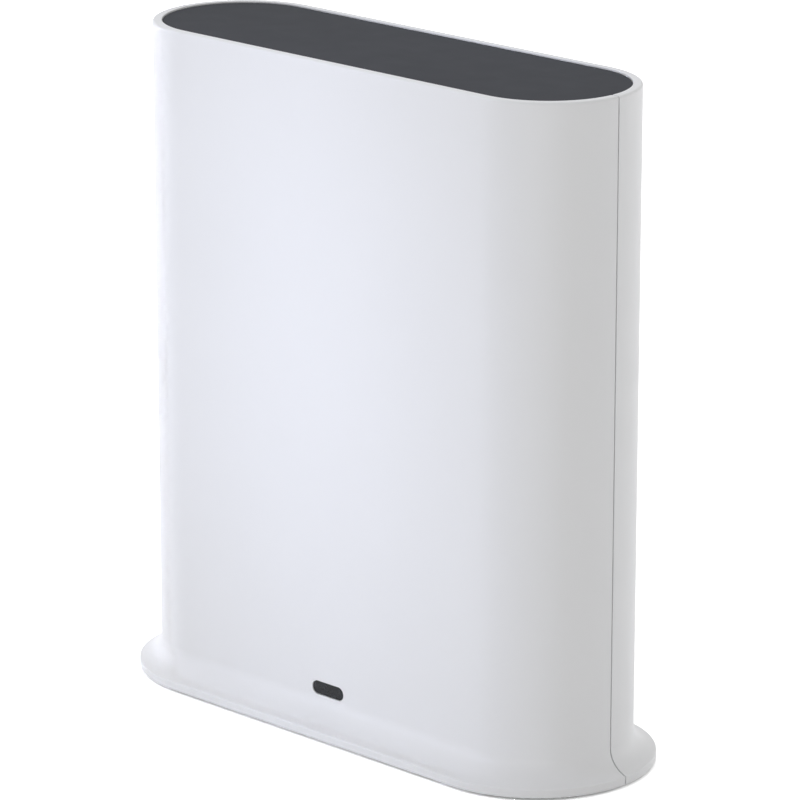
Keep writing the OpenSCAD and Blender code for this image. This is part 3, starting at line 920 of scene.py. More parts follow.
SCREW_ZINC = PlatedMetal("screw_zinc", (0.55, 0.55, 0.56), 0.32)
SHIELD_TIN = PlatedMetal("shield_tin", (0.66, 0.66, 0.67), 0.28)
SINK_ALUMINIUM = PlatedMetal("sink_aluminium", (0.68, 0.69, 0.71), 0.38, marks=(1.0, 1.0, 0.05))
CAN_ALUMINIUM = PlatedMetal("can_aluminium", (0.72, 0.72, 0.74), 0.24)
CONTACT_GOLD = PlatedMetal("contact_gold", (0.86, 0.62, 0.26), 0.22)
PIN_NICKEL = PlatedMetal("pin_nickel", (0.70, 0.68, 0.63), 0.2)
TRACK_COPPER = PlatedMetal("track_copper", (0.78, 0.42, 0.24), 0.35)
BOARD_GREEN = BoardLaminate("board_green", (0.012, 0.085, 0.045), 0.38)
PIPE_CLEAR = ClearPlastic("pipe_clear", (0.90, 0.93, 0.95), 0.08)


def finish_piece(obj: bpy.types.Object, finish: Finish, replaced: Sequence[str],
                 body: str = HUB) -> bpy.types.Object:
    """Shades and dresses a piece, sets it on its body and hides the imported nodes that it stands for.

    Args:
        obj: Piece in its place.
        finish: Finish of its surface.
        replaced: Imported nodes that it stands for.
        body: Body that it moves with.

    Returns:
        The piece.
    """
    smooth(obj)
    finish.dress(obj)
    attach(obj, body)
    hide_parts(*replaced)
    log.info("%s: %d faces, rides on %s, stands for %s", obj.name, len(obj.data.polygons), body,
             ", ".join(replaced))
    return obj


class ShapeTree(NodeWork):
    """Geometry Nodes tree with named inputs, whose result becomes a plain mesh."""

    def __init__(self, name: str, sockets: dict[str, str]) -> None:
        """Makes the tree with its named inputs.

        Args:
            name: Name of the tree.
            sockets: Socket type of each input besides the geometry and the material, by name.
        """
        group = bpy.data.node_groups.new(name, "GeometryNodeTree")
        super().__init__(group)
        kinds = {"Geometry": "NodeSocketGeometry", **sockets, "Material": "NodeSocketMaterial"}
        for key, kind in kinds.items():
            group.interface.new_socket(key, in_out="INPUT", socket_type=kind)
        group.interface.new_socket("Geometry", in_out="OUTPUT", socket_type="NodeSocketGeometry")
        self.entry = self.add("NodeGroupInput").outputs

    def end(self, shape: bpy.types.NodeSocket) -> None:
        """Ends the tree with real geometry in its material.

        Args:
            shape: Geometry that the tree gives.
        """
        real = self.add("GeometryNodeRealizeInstances", {"Geometry": shape})
        dressed = self.add("GeometryNodeSetMaterial", {"Geometry": real.outputs["Geometry"],
                                                       "Material": self.entry["Material"]})
        self.add("NodeGroupOutput", {"Geometry": dressed.outputs["Geometry"]})

    def run(self, name: str, mesh: bpy.types.Mesh, finish: Finish,
            values: dict[str, Any]) -> bpy.types.Object:
        """Runs the tree and keeps its result.

        Args:
            name: Name of the new object.
            mesh: Mesh that the tree reads.
            finish: Finish of the result.
            values: Values of the tree's other inputs, by name.

        Returns:
            The object with a plain mesh.
        """
        obj = new_object(name, mesh)
        modifier = obj.modifiers.new(name, "NODES")
        modifier.node_group = self.tree
        inputs = {"Material": finish.material(), **values}
        for item in self.tree.interface.items_tree:
            if item.in_out == "INPUT" and item.name in inputs:
                modifier[item.identifier] = inputs[item.name]
        settle(obj)
        return obj


class CopyTree(ShapeTree):
    """Tree that sets copies of a template at points."""

    def __init__(self, name: str, sockets: dict[str, str]) -> None:
        """Makes the tree with its named inputs, the template among them."""
        super().__init__(name, {**sockets, "Template": "NodeSocketObject"})

    def copy_to(self, points: bpy.types.NodeSocket, **settings: bpy.types.NodeSocket) -> None:
        """Sets the template at the points and ends the tree.

        Args:
            points: Geometry with the points.
            settings: Other inputs of the copies, such as their turn.
        """
        template = self.add("GeometryNodeObjectInfo", {"Object": self.entry["Template"]})
        copies = self.add("GeometryNodeInstanceOnPoints", {
            "Points": points, "Instance": template.outputs["Geometry"], **settings})
        self.end(copies.outputs["Instances"])

    def run_copies(self, name: str, template: Solid | bpy.types.Object, mesh: bpy.types.Mesh, finish: Finish,
                   values: dict[str, Any]) -> bpy.types.Object:
        """Runs the tree with a template, which is then removed.

        Args:
            name: Name of the new object.
            template: Shape or object that is copied.
            mesh: Mesh that the tree reads.
            finish: Finish of the copies.
            values: Values of the tree's other inputs, by name.

        Returns:
            The object with all copies.
        """
        master = solid_object("template", template) if isinstance(template, Solid) else template
        obj = self.run(name, mesh, finish, {"Template": master, **values})
        remove_object(master)
        return obj


class Trees:
    """The trees that the object uses: copies in a row, copies at points, and a plate with round ends."""

    plate_steps: int = 40

    def __init__(self) -> None:
        """Builds the three trees."""
        self.rows = CopyTree("row_of_copies", {"Count": "NodeSocketInt", "First": "NodeSocketVector",
                                               "Step": "NodeSocketVector"})
        entry = self.rows.entry
        line = self.rows.add("GeometryNodeMeshLine", {
            "Count": entry["Count"], "Start Location": entry["First"], "Offset": entry["Step"]})
        self.rows.copy_to(line.outputs["Mesh"])

        self.points = CopyTree("copies_at_points", {})
        turn = self.points.add("GeometryNodeInputNamedAttribute", {"Name": "turn"}, data_type="FLOAT")
        euler = self.points.add("ShaderNodeCombineXYZ", {"Z": turn.outputs["Attribute"]})
        self.points.copy_to(self.points.entry["Geometry"], Rotation=euler.outputs["Vector"])

        self.plates = ShapeTree("plate_with_round_ends", dict.fromkeys(
            ("Length", "Width", "Bottom", "Thickness"), "NodeSocketFloat"))
        self.build_plates(self.plates)

    def build_plates(self, tree: ShapeTree) -> None:
        """Adds the nodes of the plate: an outline with round ends, filled and raised.

        Args:
            tree: Tree that the nodes go into.
        """
        entry = tree.entry
        box = tree.add("GeometryNodeCurvePrimitiveQuadrilateral", {"Width": entry["Length"],
                                                                   "Height": entry["Width"]})
        half = tree.add("ShaderNodeMath", operation="MULTIPLY")
        tree.feed(half.inputs[0], entry["Width"])
        tree.feed(half.inputs[1], 0.5)
        outline = tree.add("GeometryNodeFilletCurve", {
            "Curve": box.outputs["Curve"], "Count": self.plate_steps, "Radius": half.outputs["Value"],
            "Limit Radius": True}, mode="POLY")
        fill = tree.add("GeometryNodeFillCurve", {"Curve": outline.outputs["Curve"]}, mode="NGONS")
        face = fill.outputs["Mesh"]
        rise = tree.add("ShaderNodeCombineXYZ", {"Z": entry["Thickness"]})
        raised = tree.add("GeometryNodeExtrudeMesh", {"Mesh": face, "Offset": rise.outputs["Vector"],
                                                      "Individual": False})
        under = tree.add("GeometryNodeFlipFaces", {"Mesh": face})
        both = tree.add("GeometryNodeJoinGeometry", {"Geometry": raised.outputs["Mesh"]})
        tree.feed(both.inputs["Geometry"], under.outputs["Mesh"])
        closed = tree.add("GeometryNodeMergeByDistance", {"Geometry": both.outputs["Geometry"],
                                                          "Distance": MERGE_DISTANCE})
        lift = tree.add("ShaderNodeCombineXYZ", {"Z": entry["Bottom"]})
        placed = tree.add("GeometryNodeSetPosition", {"Geometry": closed.outputs["Geometry"],
                                                      "Offset": lift.outputs["Vector"]})
        tree.end(placed.outputs["Geometry"])

    def row(self, name: str, template: Solid, finish: Finish, count: int, step: Point3) -> bpy.types.Object:
        """Copies a shape along a row that is centred on the shape's own place.

        Args:
            name: Name of the new object.
            template: Shape that is copied.
            finish: Finish of the copies.
            count: Number of copies.
            step: Step from one copy to the next, in millimetres.

        Returns:
            The object with all copies.
        """
        first = [-v * (count - 1) / 2 * MM for v in step]
        values = {"Count": count, "First": first, "Step": [v * MM for v in step]}
        return self.rows.run_copies(name, template, bpy.data.meshes.new(name), finish, values)

    def at_points(self, name: str, template: Solid | bpy.types.Object, finish: Finish,
                  points: Sequence[Point3], turns: Sequence[float] | None = None) -> bpy.types.Object:
        """Copies a shape to several points.

        Args:
            name: Name of the new object.
            template: Shape or object that is copied.
            finish: Finish of the copies.
            points: Places of the copies, in millimetres.
            turns: Turn of each copy about Z, or none.

        Returns:
            The object with all copies.
        """
        mesh = bpy.data.meshes.new(name)
        mesh.from_pydata([tuple(v * MM for v in p) for p in points], [], [])
        angles = list(turns) if turns else [0.0] * len(points)
        mesh.attributes.new("turn", "FLOAT", "POINT").data.foreach_set("value", angles)
        return self.points.run_copies(name, template, mesh, finish, {})

    def plate(self, name: str, finish: Finish, size: Point2, levels: Level, edge: float) -> bpy.types.Object:
        """Flat plate with round ends and rounded edges, in millimetres.

        Args:
            name: Name of the new object.
            finish: Finish of the plate.
            size: Length along X and width along Y.
            levels: Heights of its underside and its top.
            edge: Rounding of its edges.

        Returns:
            The plate.
        """
        values = {"Length": size[0] * MM, "Width": size[1] * MM, "Bottom": levels[0] * MM,
                  "Thickness": (levels[1] - levels[0]) * MM}
        obj = self.plates.run(name, bpy.data.meshes.new(name), finish, values)
        tidy_mesh(obj.data)
        bevel = obj.modifiers.new("edges", "BEVEL")
        bevel.width = edge * MM
        bevel.segments = ROUND_STEPS
        settle(obj)
        return obj


def four_corners(x: float, y: float, z: float = 0.0) -> list[Point3]:
    """The four points at plus and minus x and y, at one height."""
    return [(i * x, j * y, z) for i in (-1, 1) for j in (-1, 1)]


@dataclass(frozen=True)
class Station:
    """One upright section round the front half of the casing.

    Attributes:
        reach: Overhang of the foot here.
        shrink: How far the outer side is drawn in, at the rounded edge of the seam.
        place: Plan position of a point that lies a distance outside the wall's face.
    """

    reach: float
    shrink: float
    place: Callable[[float], Point2]

    def mirrored(self) -> Station:
        """The same station at the other end."""
        return Station(self.reach, self.shrink, lambda out: (-self.place(out)[0], self.place(out)[1]))


@dataclass
class Casing:
    """White casing: two half shells that meet at a fine seam in the middle of each round end."""

    width: float
    depth: float
    height: float
    stand: float
    trees: Trees
    wall: float = 2.1
    seam_gap: float = 0.36
    seam_round: float = 0.06
    rim_round: float = 0.6
    rim_inner_round: float = 0.15
    panel_drop: float = 2.1
    ledge_width: float = 1.9
    ledge_thickness: float = 2.0
    flare_side: float = 6.4
    flare_end: float = 4.4
    flare_rise: float = 7.1
    flare_sweep: float = math.radians(70)
    flare_soft: float = math.radians(65)
    rim_height: float = 1.9
    rim_band: float = 3.2
    rim_soft: float = 0.12
    foot_round: float = 0.25
    seat_rise: float = 2.1
    lip_thickness: float = 1.1
    lip_reach: float = 2.5
    lip_gap: float = 0.2
    lip_root: float = 0.5
    lip_steps: tuple[int, int, int] = (4, 6, 8)
    boss_diameter: float = 6.4
    base_boss_height: float = 12.0
    pilot_diameter: float = 2.2
    pilot_depth: float = 9.0
    boss_round: float = 0.2
    post_diameter: float = 5.0
    post_offset: float = 11.0
    board_screw_radius: float = 2.4
    window_gap: float = 0.06
    bay_round: float = 0.4
    hole_round: float = 0.22
    flare_steps: int = 16
    wall_steps: int = 8
    rim_steps: int = 7
    end_start: float = math.radians(2)
    end_steps: int = 36
    side_steps: int = 24

    @classmethod
    def from_frame(cls, trees: Trees) -> Casing:
        """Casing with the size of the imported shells.

        Args:
            trees: Shape trees that its repeated details come from.

        Returns:
            The casing.
        """
        box = NodeBox.of("front_shell")
        width = round(box.size[0] - 2 * cls.flare_end, 1)
        depth = round(-2 * (box.low[1] + cls.flare_side), 1)
        return cls(width, depth, box.high[2], box.low[2], trees)

    @property
    def radius(self) -> float:
        """Radius of the round ends."""
        return self.depth / 2

    @property
    def inner_radius(self) -> float:
        """Radius of the wall's inner face at the ends."""
        return self.radius - self.wall

    @property
    def straight(self) -> float:
        """Half the length of the straight sides."""
        return self.width / 2 - self.radius

    @property
    def foot_radius(self) -> float:
        """Radius of the foot's round ends."""
        return self.radius + self.flare_side

    @property
    def foot_straight(self) -> float:
        """Half the length of the foot's straight sides."""
        return self.straight - self.flare_side + self.flare_end

    @property
    def boss_root(self) -> float:
        """Depth at which a boss ends, a third of the way into the wall."""
        return self.inner_radius + self.wall / 3

    def end_reach(self, angle: float) -> float:
        """Overhang of the foot round the end.

        Args:
            angle: Angle from the end's middle.

        Returns:
            The overhang there.
        """
        shift = self.straight - self.foot_straight
        across = shift * math.sin(angle)
        return math.sqrt(self.foot_radius ** 2 - across ** 2) - shift * math.cos(angle) - self.radius

    def side_reach(self, x: float) -> float:
        """Overhang of the foot along the straight side."""
        past = max(0.0, abs(x) - self.foot_straight)
        return math.sqrt(self.foot_radius ** 2 - past ** 2) - self.radius

    def flare_point(self, reach: float, angle: float) -> Point2:
        """Point of the flare.

        Args:
            reach: Overhang of the foot at this section.
            angle: Angle along the flare, zero at its top.

        Returns:
            Distance from the wall and height.
        """
        top = self.stand + self.flare_rise
        drop = self.flare_rise - self.rim_height
        out = reach * (1 - math.cos(angle)) / (1 - math.cos(self.flare_sweep))
        return out, top - drop * math.sin(angle) / math.sin(self.flare_sweep)

    def outer_side(self, reach: float) -> list[Point2]:
        """Outer side of a section, from under the foot to the inner edge of the top rim.

        Args:
            reach: Overhang of the foot at this section.

        Returns:
            Pairs of distance from the wall and height.
        """
        low = self.foot_round
        points = [(reach - self.rim_band, self.stand)]
        points += [(reach - low * (1 - math.cos(a)), self.stand + low * (1 + math.sin(a)))
                   for a in arc(-QUARTER, 0, ROUND_STEPS)]
        edge = (reach, self.stand + self.rim_height)
        below = (reach, edge[1] - self.rim_soft)
        flare_start = self.flare_point(reach, self.flare_soft)
        points += bend(below, edge, flare_start, ROUND_STEPS)
        points += [self.flare_point(reach, a) for a in arc(self.flare_soft, 0, self.flare_steps)[1:]]
        flare_top = self.stand + self.flare_rise
        points += [(0.0, z) for z in arc(flare_top, self.height - self.rim_round, self.wall_steps)[1:-1]]
        big = self.rim_round
        points += [(-big * (1 - math.cos(a)), self.height - big * (1 - math.sin(a)))
                   for a in arc(0, QUARTER, self.rim_steps)]
        small = self.rim_inner_round
        points += [(-self.wall + small * (1 - math.sin(a)), self.height - small * (1 - math.cos(a)))
                   for a in arc(0, QUARTER, ROUND_STEPS)]
        return points

    def inner_side(self, reach: float) -> list[Point2]:
        """Inner side of a section, from the seat of the top cover down to the seat of the base.

        Args:
            reach: Overhang of the foot at this section.

        Returns:
            Pairs of distance from the wall and height.
        """
        seat = self.height - self.panel_drop
        ledge = seat - self.ledge_thickness
        edge = -self.wall - self.ledge_width
        base = self.stand + self.seat_rise
        return [(-self.wall, seat), (edge, seat), (edge, ledge), (-self.wall, ledge),
                (-self.wall, base), (reach - self.rim_band, base)]

    def section(self, station: Station) -> list[Point2]:
        """Closed section of the wall at a station, drawn in at the seam.

        Args:
            station: Station whose overhang and shrink are used.

        Returns:
            Pairs of distance from the wall and height.
        """
        outer = self.outer_side(station.reach)
        last = len(outer) - 1
        points = []
        for i, (out, z) in enumerate(outer):
            before = outer[max(i - 1, 0)]
            after = outer[min(i + 1, last)]
            along = Vector((after[0] - before[0], after[1] - before[1])).normalized()
            points.append((out - station.shrink * along.y, z + station.shrink * along.x))
        return points + self.inner_side(station.reach)

    def seam_station(self, y: float, shrink: float) -> Station:
        """Station beside the seam, at a constant distance from its middle."""
        return Station(self.end_reach(0.0), shrink, lambda out: (
            self.straight + math.sqrt((self.radius + out) ** 2 - y ** 2), -y))

    def end_station(self, angle: float) -> Station:
        """Station at an angle round the end, from the end's middle."""
        return Station(self.end_reach(angle), 0.0, lambda out: (
            self.straight + (self.radius + out) * math.cos(angle), -(self.radius + out) * math.sin(angle)))

    def side_station(self, x: float) -> Station:
        """Station along the straight side."""
        return Station(self.side_reach(x), 0.0, lambda out: (x, -self.radius - out))

    def stations(self) -> list[Station]:
        """Stations round the front half, from the right seam to the left one.

        Returns:
            The stations in order.
        """
        gap = self.seam_gap / 2
        bead = self.seam_round
        end = [self.seam_station(gap + bead * (1 - math.cos(a)), bead * (1 - math.sin(a)))
               for a in arc(0, QUARTER, ROUND_STEPS)]
        end += [self.end_station(a) for a in arc(self.end_start, QUARTER, self.end_steps)]
        reach = (self.straight + self.foot_straight) / 2
        side = [self.side_station(x) for x in arc(reach, -reach, self.side_steps)]
        return end + side + [station.mirrored() for station in reversed(end)]

    def half(self, half: Half) -> Solid:
        """One half shell without its openings.

        Args:
            half: Which half to make.

        Returns:
            The closed shell.
        """
        solid = Solid()
        turn = -half.value
        stations = self.stations()
        for station in stations:
            for out, z in self.section(station):
                x, y = station.place(out)
                solid.points.append((turn * x, turn * y, z))
        return solid.close_rows(len(solid.points) // len(stations))

    def cut(self, obj: bpy.types.Object, outline: Outline, centre: Point2, half: Half, edge: float) -> None:
        """Cuts an opening with a rounded edge through a straight wall.

        Args:
            obj: Shell that is cut.
            outline: Outline of the opening.
            centre: Place of its middle across and up.
            half: Wall that it goes through.
            edge: Rounding of its outer edge.
        """
        facing = Facing.FRONT if half is Half.FRONT else Facing.REAR
        levels = mouth_levels(self.inner_radius - CUT_PAST, self.radius, edge)
        merge_solid(obj, loft(outline, centre, facing, levels), Merge.CUT)

    def seam_lip(self) -> Solid:
        """The lip of the front shell that reaches behind the rear one at each end.

        Returns:
            Both strips of the lip.
        """
        gap, reach = self.lip_gap, self.lip_reach
        bottom = self.stand + self.seat_rise + gap
        top = self.height - self.panel_drop - self.ledge_thickness - gap
        outer = self.inner_radius - gap
        runs = ((self.inner_radius + self.lip_root, -reach, -2 * gap), (outer, -2 * gap, reach),
                (outer - self.lip_thickness, reach, -reach))
        plan = [(math.sqrt(radius ** 2 - y ** 2), y)
                for (radius, start, end), steps in zip(runs, self.lip_steps) for y in arc(start, end, steps)]
        solid = Solid()
        for side in (-1, 1):
            strip = Solid([(side * (self.straight + x), y, z) for z in (bottom, top) for x, y in plan])
            solid.join(strip.close_rows(len(plan)))
        return solid

    def bosses(self, name: str, node: str, diameter: float, bore: float,
               places: Sequence[Point2]) -> bpy.types.Object:
        """Screw bosses that stand on the inside of the front wall.

        Args:
            name: Name of the object.
            node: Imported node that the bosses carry.
            diameter: Diameter of a boss.
            bore: Diameter of its pilot hole, or zero for a plain post.
            places: Places across and up.

        Returns:
            The bosses as one object.
        """
        end = -NodeBox.of(node).low[1]
        deep = end + self.pilot_depth
        hole = [(bore / 2, end), (bore / 2, deep), (0.0, deep)] if bore else [(0.0, end)]
        side, soft = diameter / 2, self.boss_round
        root = self.boss_root
        profile = [(0.0, root), (side, root), (side, end + soft), (side - soft, end)] + hole
        points = [(x, 0.0, z) for x, z in places]
        template = turned(profile, ORIGIN, Facing.FRONT, SMALL_STEPS)
        return self.trees.at_points(name, template, CASING_WHITE, points)

    def add_base_bosses(self, shell: bpy.types.Object, half: Half, screws: Sequence[Point3]) -> None:
        """Adds the screw bosses above the base plate, each with a web to the wall.

        Args:
            shell: Shell that carries the bosses.
            half: Which half the shell is.
            screws: Places of all base screws.
        """
        low = self.stand + self.seat_rise
        high = low + self.base_boss_height
        spots = [spot for spot in screws if spot[1] * half.value > 0]
        turns = [0.0 if half is Half.REAR else math.pi for _ in spots]
        web_end = self.boss_root - abs(spots[0][1])
        soft, half_web = self.boss_round, self.wall / 2
        boss = loft(Disc(self.boss_diameter), ORIGIN, Facing.UP, prism_levels(low, high, 0.0, soft))
        web = plate((-half_web, self.pilot_diameter, low), (half_web, web_end, high), soft)
        pilot = loft(Disc(self.pilot_diameter), ORIGIN, Facing.UP,
                     prism_levels(low - CUT_PAST, low + self.pilot_depth))
        for template, change in ((boss, Merge.FUSE), (web, Merge.FUSE), (pilot, Merge.CUT)):
            merge(shell, self.trees.at_points("base_bosses", template, CASING_WHITE, spots, turns), change)

    def build_front(self, window: StatusLens, foot: Foot) -> None:
        """Makes the front shell with its lip, its bosses and its window.

        Args:
            window: Lens that the wall is opened for.
            foot: Foot whose screws the shell has bosses for.
        """
        front = solid_object("front_casing", self.half(Half.FRONT))
        merge_solid(front, self.seam_lip(), Merge.FUSE)
        screws, head = NodeBox.of("board_screws"), self.board_screw_radius
        across = screws.high[0] - head
        rises = (screws.low[2] + head, screws.high[2] - head)
        spots = [(side * across, z) for side in (-1, 1) for z in rises]
        boss, pilot = self.boss_diameter, self.pilot_diameter
        merge(front, self.bosses("board_bosses", "main_board", boss, pilot, spots), Merge.FUSE)
        aerial, offset = NodeBox.of("right_aerial").centre, self.post_offset
        posts = [(side * aerial[0] + step, aerial[2]) for side in (-1, 1) for step in (-offset, offset)]
        merge(front, self.bosses("aerial_posts", "right_aerial", self.post_diameter, 0.0, posts), Merge.FUSE)
        self.add_base_bosses(front, Half.FRONT, foot.screw_spots())
        opening = Slot(window.width + 2 * self.window_gap, window.height + 2 * self.window_gap)
        self.cut(front, opening, window.centre, Half.FRONT, self.window_gap)
        finish_piece(front, CASING_WHITE, ["front_shell"])

    def build_rear(self, bay: SocketBay, key: SyncKey, foot: Foot) -> None:
        """Makes the rear shell with its openings, its guide ring and its bosses.

        Args:
            bay: Socket bay that the wall is opened for.
            key: Sync button that the wall is opened for.
            foot: Foot whose screws the shell has bosses for.
        """
        rear = solid_object("rear_casing", self.half(Half.REAR))
        self.cut(rear, Slot(bay.width, bay.height), bay.centre, Half.REAR, self.bay_round)
        self.cut(rear, Disc(key.diameter + 2 * key.gap), key.centre, Half.REAR, self.hole_round)
        merge_solid(rear, key.guide(self), Merge.FUSE)
        self.add_base_bosses(rear, Half.REAR, foot.screw_spots())
        finish_piece(rear, CASING_WHITE, ["rear_shell"])


@dataclass
class TopCover:
    """Dark flat cover inside the top rim, held by four clips."""

    casing: Casing
    gap: float = 0.15
    edge_round: float = 0.12
    clip_width: float = 8.0
    clip_thickness: float = 1.2
    clip_drop: float = 4.0
    clip_hook: float = 0.7
    clip_inset: float = 12.0
    clip_round: float = 0.2
    clip_root: float = 0.2
    clip_gap: float = 0.2
    hook_root: float = 0.4
    hook_height: float = 1.7

    def clip(self) -> Solid:
        """One clip at the origin, with its hook towards -Y.

        Returns:
            The stem and the hook.
        """
        half, low, soft = self.clip_width / 2, -self.clip_drop, self.clip_round
        stem = plate((-half, 0.0, low), (half, self.clip_thickness, self.clip_root), soft)
        hook = plate((-half, -self.clip_hook, low), (half, self.hook_root, low + self.hook_height), soft)
        return stem.join(hook)

    def build(self) -> None:
        """Makes the cover with its clips."""
        box = NodeBox.of("top_panel")
        radius = self.casing.inner_radius - self.gap
        bottom = self.casing.height - self.casing.panel_drop
        size = (2 * (self.casing.straight + radius), 2 * radius)
        trees = self.casing.trees
        cover = trees.plate("top_cover", COVER_GREY, size, (bottom, box.high[2]), self.edge_round)
        seat = self.casing.inner_radius - self.casing.ledge_width - self.clip_gap
        points = four_corners(self.casing.straight - self.clip_inset, seat, bottom)
        turns = [0.0 if y < 0 else math.pi for _, y, _ in points]
        merge(cover, trees.at_points("clips", self.clip(), COVER_GREY, points, turns), Merge.FUSE)
        finish_piece(cover, COVER_GREY, ["top_panel"])


@dataclass
class StatusLens:
    """Dark pill-shaped lens low on the front, in front of the status light."""

    width: float = 9.4
    height: float = 3.0
    recess: float = 0.15
    edge_round: float = 0.15
    flange: float = 1.4
    flange_depth: float = 0.8
    flange_round: float = 0.1

    @property
    def centre(self) -> Point2:
        """Place of the lens across and up."""
        return NodeBox.of("status_window").spot

    def build(self, casing: Casing) -> None:
        """Makes the lens with the flange behind the wall.

        Args:
            casing: Casing that holds it.
        """
        face = casing.radius - self.recess
        back = casing.inner_radius - self.flange_depth
        soft = self.flange_round
        lens = loft(Slot(self.width, self.height), self.centre, Facing.FRONT,
                    prism_levels(back + soft, face, 0.0, self.edge_round))
        wide = Slot(self.width + 2 * self.flange, self.height + 2 * self.flange)
        flange = loft(wide, self.centre, Facing.FRONT, prism_levels(back, casing.inner_radius, soft, soft))
        obj = solid_object("status_lens", lens)
        merge_solid(obj, flange, Merge.FUSE)
        finish_piece(obj, LENS_SMOKE, ["status_window"])


@dataclass
class Foot:
    """Base plate under the casing, with its rubber feet, screws and cooling slots."""

    casing: Casing
    plate_gap: float = 0.2
    edge_round: float = 0.3
    pad_length: float = 20.0
    pad_width: float = 7.0
    pad_gap: float = 0.1
    pad_root_round: float = 0.1
    pad_sole_round: float = 0.3
    pocket_round: float = 0.15
    groove_count: int = 5
    groove_width: float = 0.6
    groove_depth: float = 0.25
    groove_round: float = 0.15
    head_diameter: float = 4.8
    head_height: float = 1.1
    head_room: float = 0.3
    hole_room: float = 0.6
    head_sink: float = 1.2
    head_dome: tuple[Point2, ...] = ((0.0, 0.45), (0.12, 0.2), (0.4, 0.04), (0.8, 0.0))
    sink_round: float = 0.2
    shank: float = 2.0
    tip_taper: float = 0.5
    tip_length: float = 1.0
    cross_length: float = 2.9
    cross_width: float = 0.7
    cross_depth: float = 0.7
    cross_round: float = 0.2
    first_turn: float = 0.35
    turn_step: float = 1.1
    vent_length: float = 14.0
    vent_width: float = 1.8
    vent_round: float = 0.25
    vent_count: int = 9
    vent_pitch: float = 4.2

    def pad_spots(self) -> list[Point3]:
        """Places of the four rubber feet."""
        box = NodeBox.of("rubber_feet")
        return four_corners(box.high[0] - self.pad_length / 2, box.high[1] - self.pad_width / 2)

    def screw_spots(self) -> list[Point3]:
        """Places of the four screws."""
        box = NodeBox.of("base_screws")
        return four_corners(box.high[0] - self.head_diameter / 2, box.high[1] - self.head_diameter / 2)

    def build_plate(self) -> None:
        """Makes the base plate with its pockets, counterbores and slots."""
        box = NodeBox.of("base_plate")
        bottom, top = box.low[2], box.high[2]
        radius = self.casing.foot_radius - self.casing.rim_band - self.plate_gap
        size = (2 * (self.casing.foot_straight + radius), 2 * radius)
        trees = self.casing.trees
        base = trees.plate("base_cover", BASE_WHITE, size, (bottom, top), self.edge_round)
        pocket_top = NodeBox.of("rubber_feet").high[2]
        pocket = loft(Slot(self.pad_length + 2 * self.pad_gap, self.pad_width + 2 * self.pad_gap), ORIGIN,
                      Facing.DOWN, mouth_levels(-pocket_top, -bottom, self.pocket_round))
        spots = self.pad_spots()
        merge(base, trees.at_points("pockets", pocket, BASE_WHITE, spots), Merge.CUT)
        head = loft(Disc(self.head_diameter + 2 * self.head_room, steps=40), ORIGIN, Facing.DOWN,
                    mouth_levels(-bottom - self.head_sink, -bottom, self.sink_round))
        hole = loft(Disc(self.shank + 2 * self.hole_room, steps=24), ORIGIN, Facing.DOWN,
                    prism_levels(-top - CUT_PAST, -bottom))
        spots = self.screw_spots()
        for cutter in (head, hole):
            merge(base, trees.at_points("holes", cutter, BASE_WHITE, spots), Merge.CUT)
        vent = loft(Upright(Slot(self.vent_length, self.vent_width, steps=10)), ORIGIN, Facing.DOWN,
                    mouth_levels(-top - CUT_PAST, -bottom, self.vent_round))
        vents = trees.row("vents", vent, BASE_WHITE, self.vent_count, (self.vent_pitch, 0.0, 0.0))
        merge(base, vents, Merge.CUT)
        finish_piece(base, BASE_WHITE, ["base_plate"])

    def build_pads(self) -> None:
        """Makes the four rubber feet, with grooves across their soles."""
        box = NodeBox.of("rubber_feet")
        levels = prism_levels(-box.high[2], -box.low[2], self.pad_root_round, self.pad_sole_round)
        pad = solid_object("pad", loft(Slot(self.pad_length, self.pad_width), ORIGIN, Facing.DOWN, levels))
        step = self.pad_length / (self.groove_count + 2)
        half = self.groove_width / 2
        for i in range(self.groove_count):
            middle = (i - self.groove_count // 2) * step
            low = (middle - half, -self.pad_width, box.low[2] - CUT_PAST)
            high = (middle + half, self.pad_width, box.low[2] + self.groove_depth)
            merge_solid(pad, plate(low, high, self.groove_round), Merge.CUT)
        spots = self.pad_spots()
        pads = self.casing.trees.at_points("foot_pads", pad, FOOT_RUBBER, spots)
        finish_piece(pads, FOOT_RUBBER, ["rubber_feet"])

    def build_screws(self) -> None:
        """Makes the four screws, each turned a little differently."""
        box = NodeBox.of("base_screws")
        low, high = box.low[2], box.high[2]
        neck = low + self.head_height
        head, shank = self.head_diameter / 2, self.shank / 2
        profile = [(0.0, -high), (shank - self.tip_taper, -high), (shank, self.tip_length - high),
                   (shank, -neck), (head, -neck)]
        profile += [(head - inset, -low - drop) for inset, drop in self.head_dome] + [(0.0, -low)]
        screw = solid_object("screw", turned(profile, ORIGIN, Facing.DOWN, steps=48))
        long_side, short_side = self.cross_length / 2, self.cross_width / 2
        for x, y in ((long_side, short_side), (short_side, long_side)):
            bar = plate((-x, -y, low - CUT_PAST), (x, y, low + self.cross_depth), self.cross_round)
            merge_solid(screw, bar, Merge.CUT)
        spots = self.screw_spots()
        turns = [self.first_turn + self.turn_step * i for i in range(len(spots))]
        screws = self.casing.trees.at_points("base_screw_set", screw, SCREW_ZINC, spots, turns)
        finish_piece(screws, SCREW_ZINC, ["base_screws"])

    def build(self) -> None:
        """Makes the whole foot."""
        self.build_plate()
        self.build_pads()
        self.build_screws()


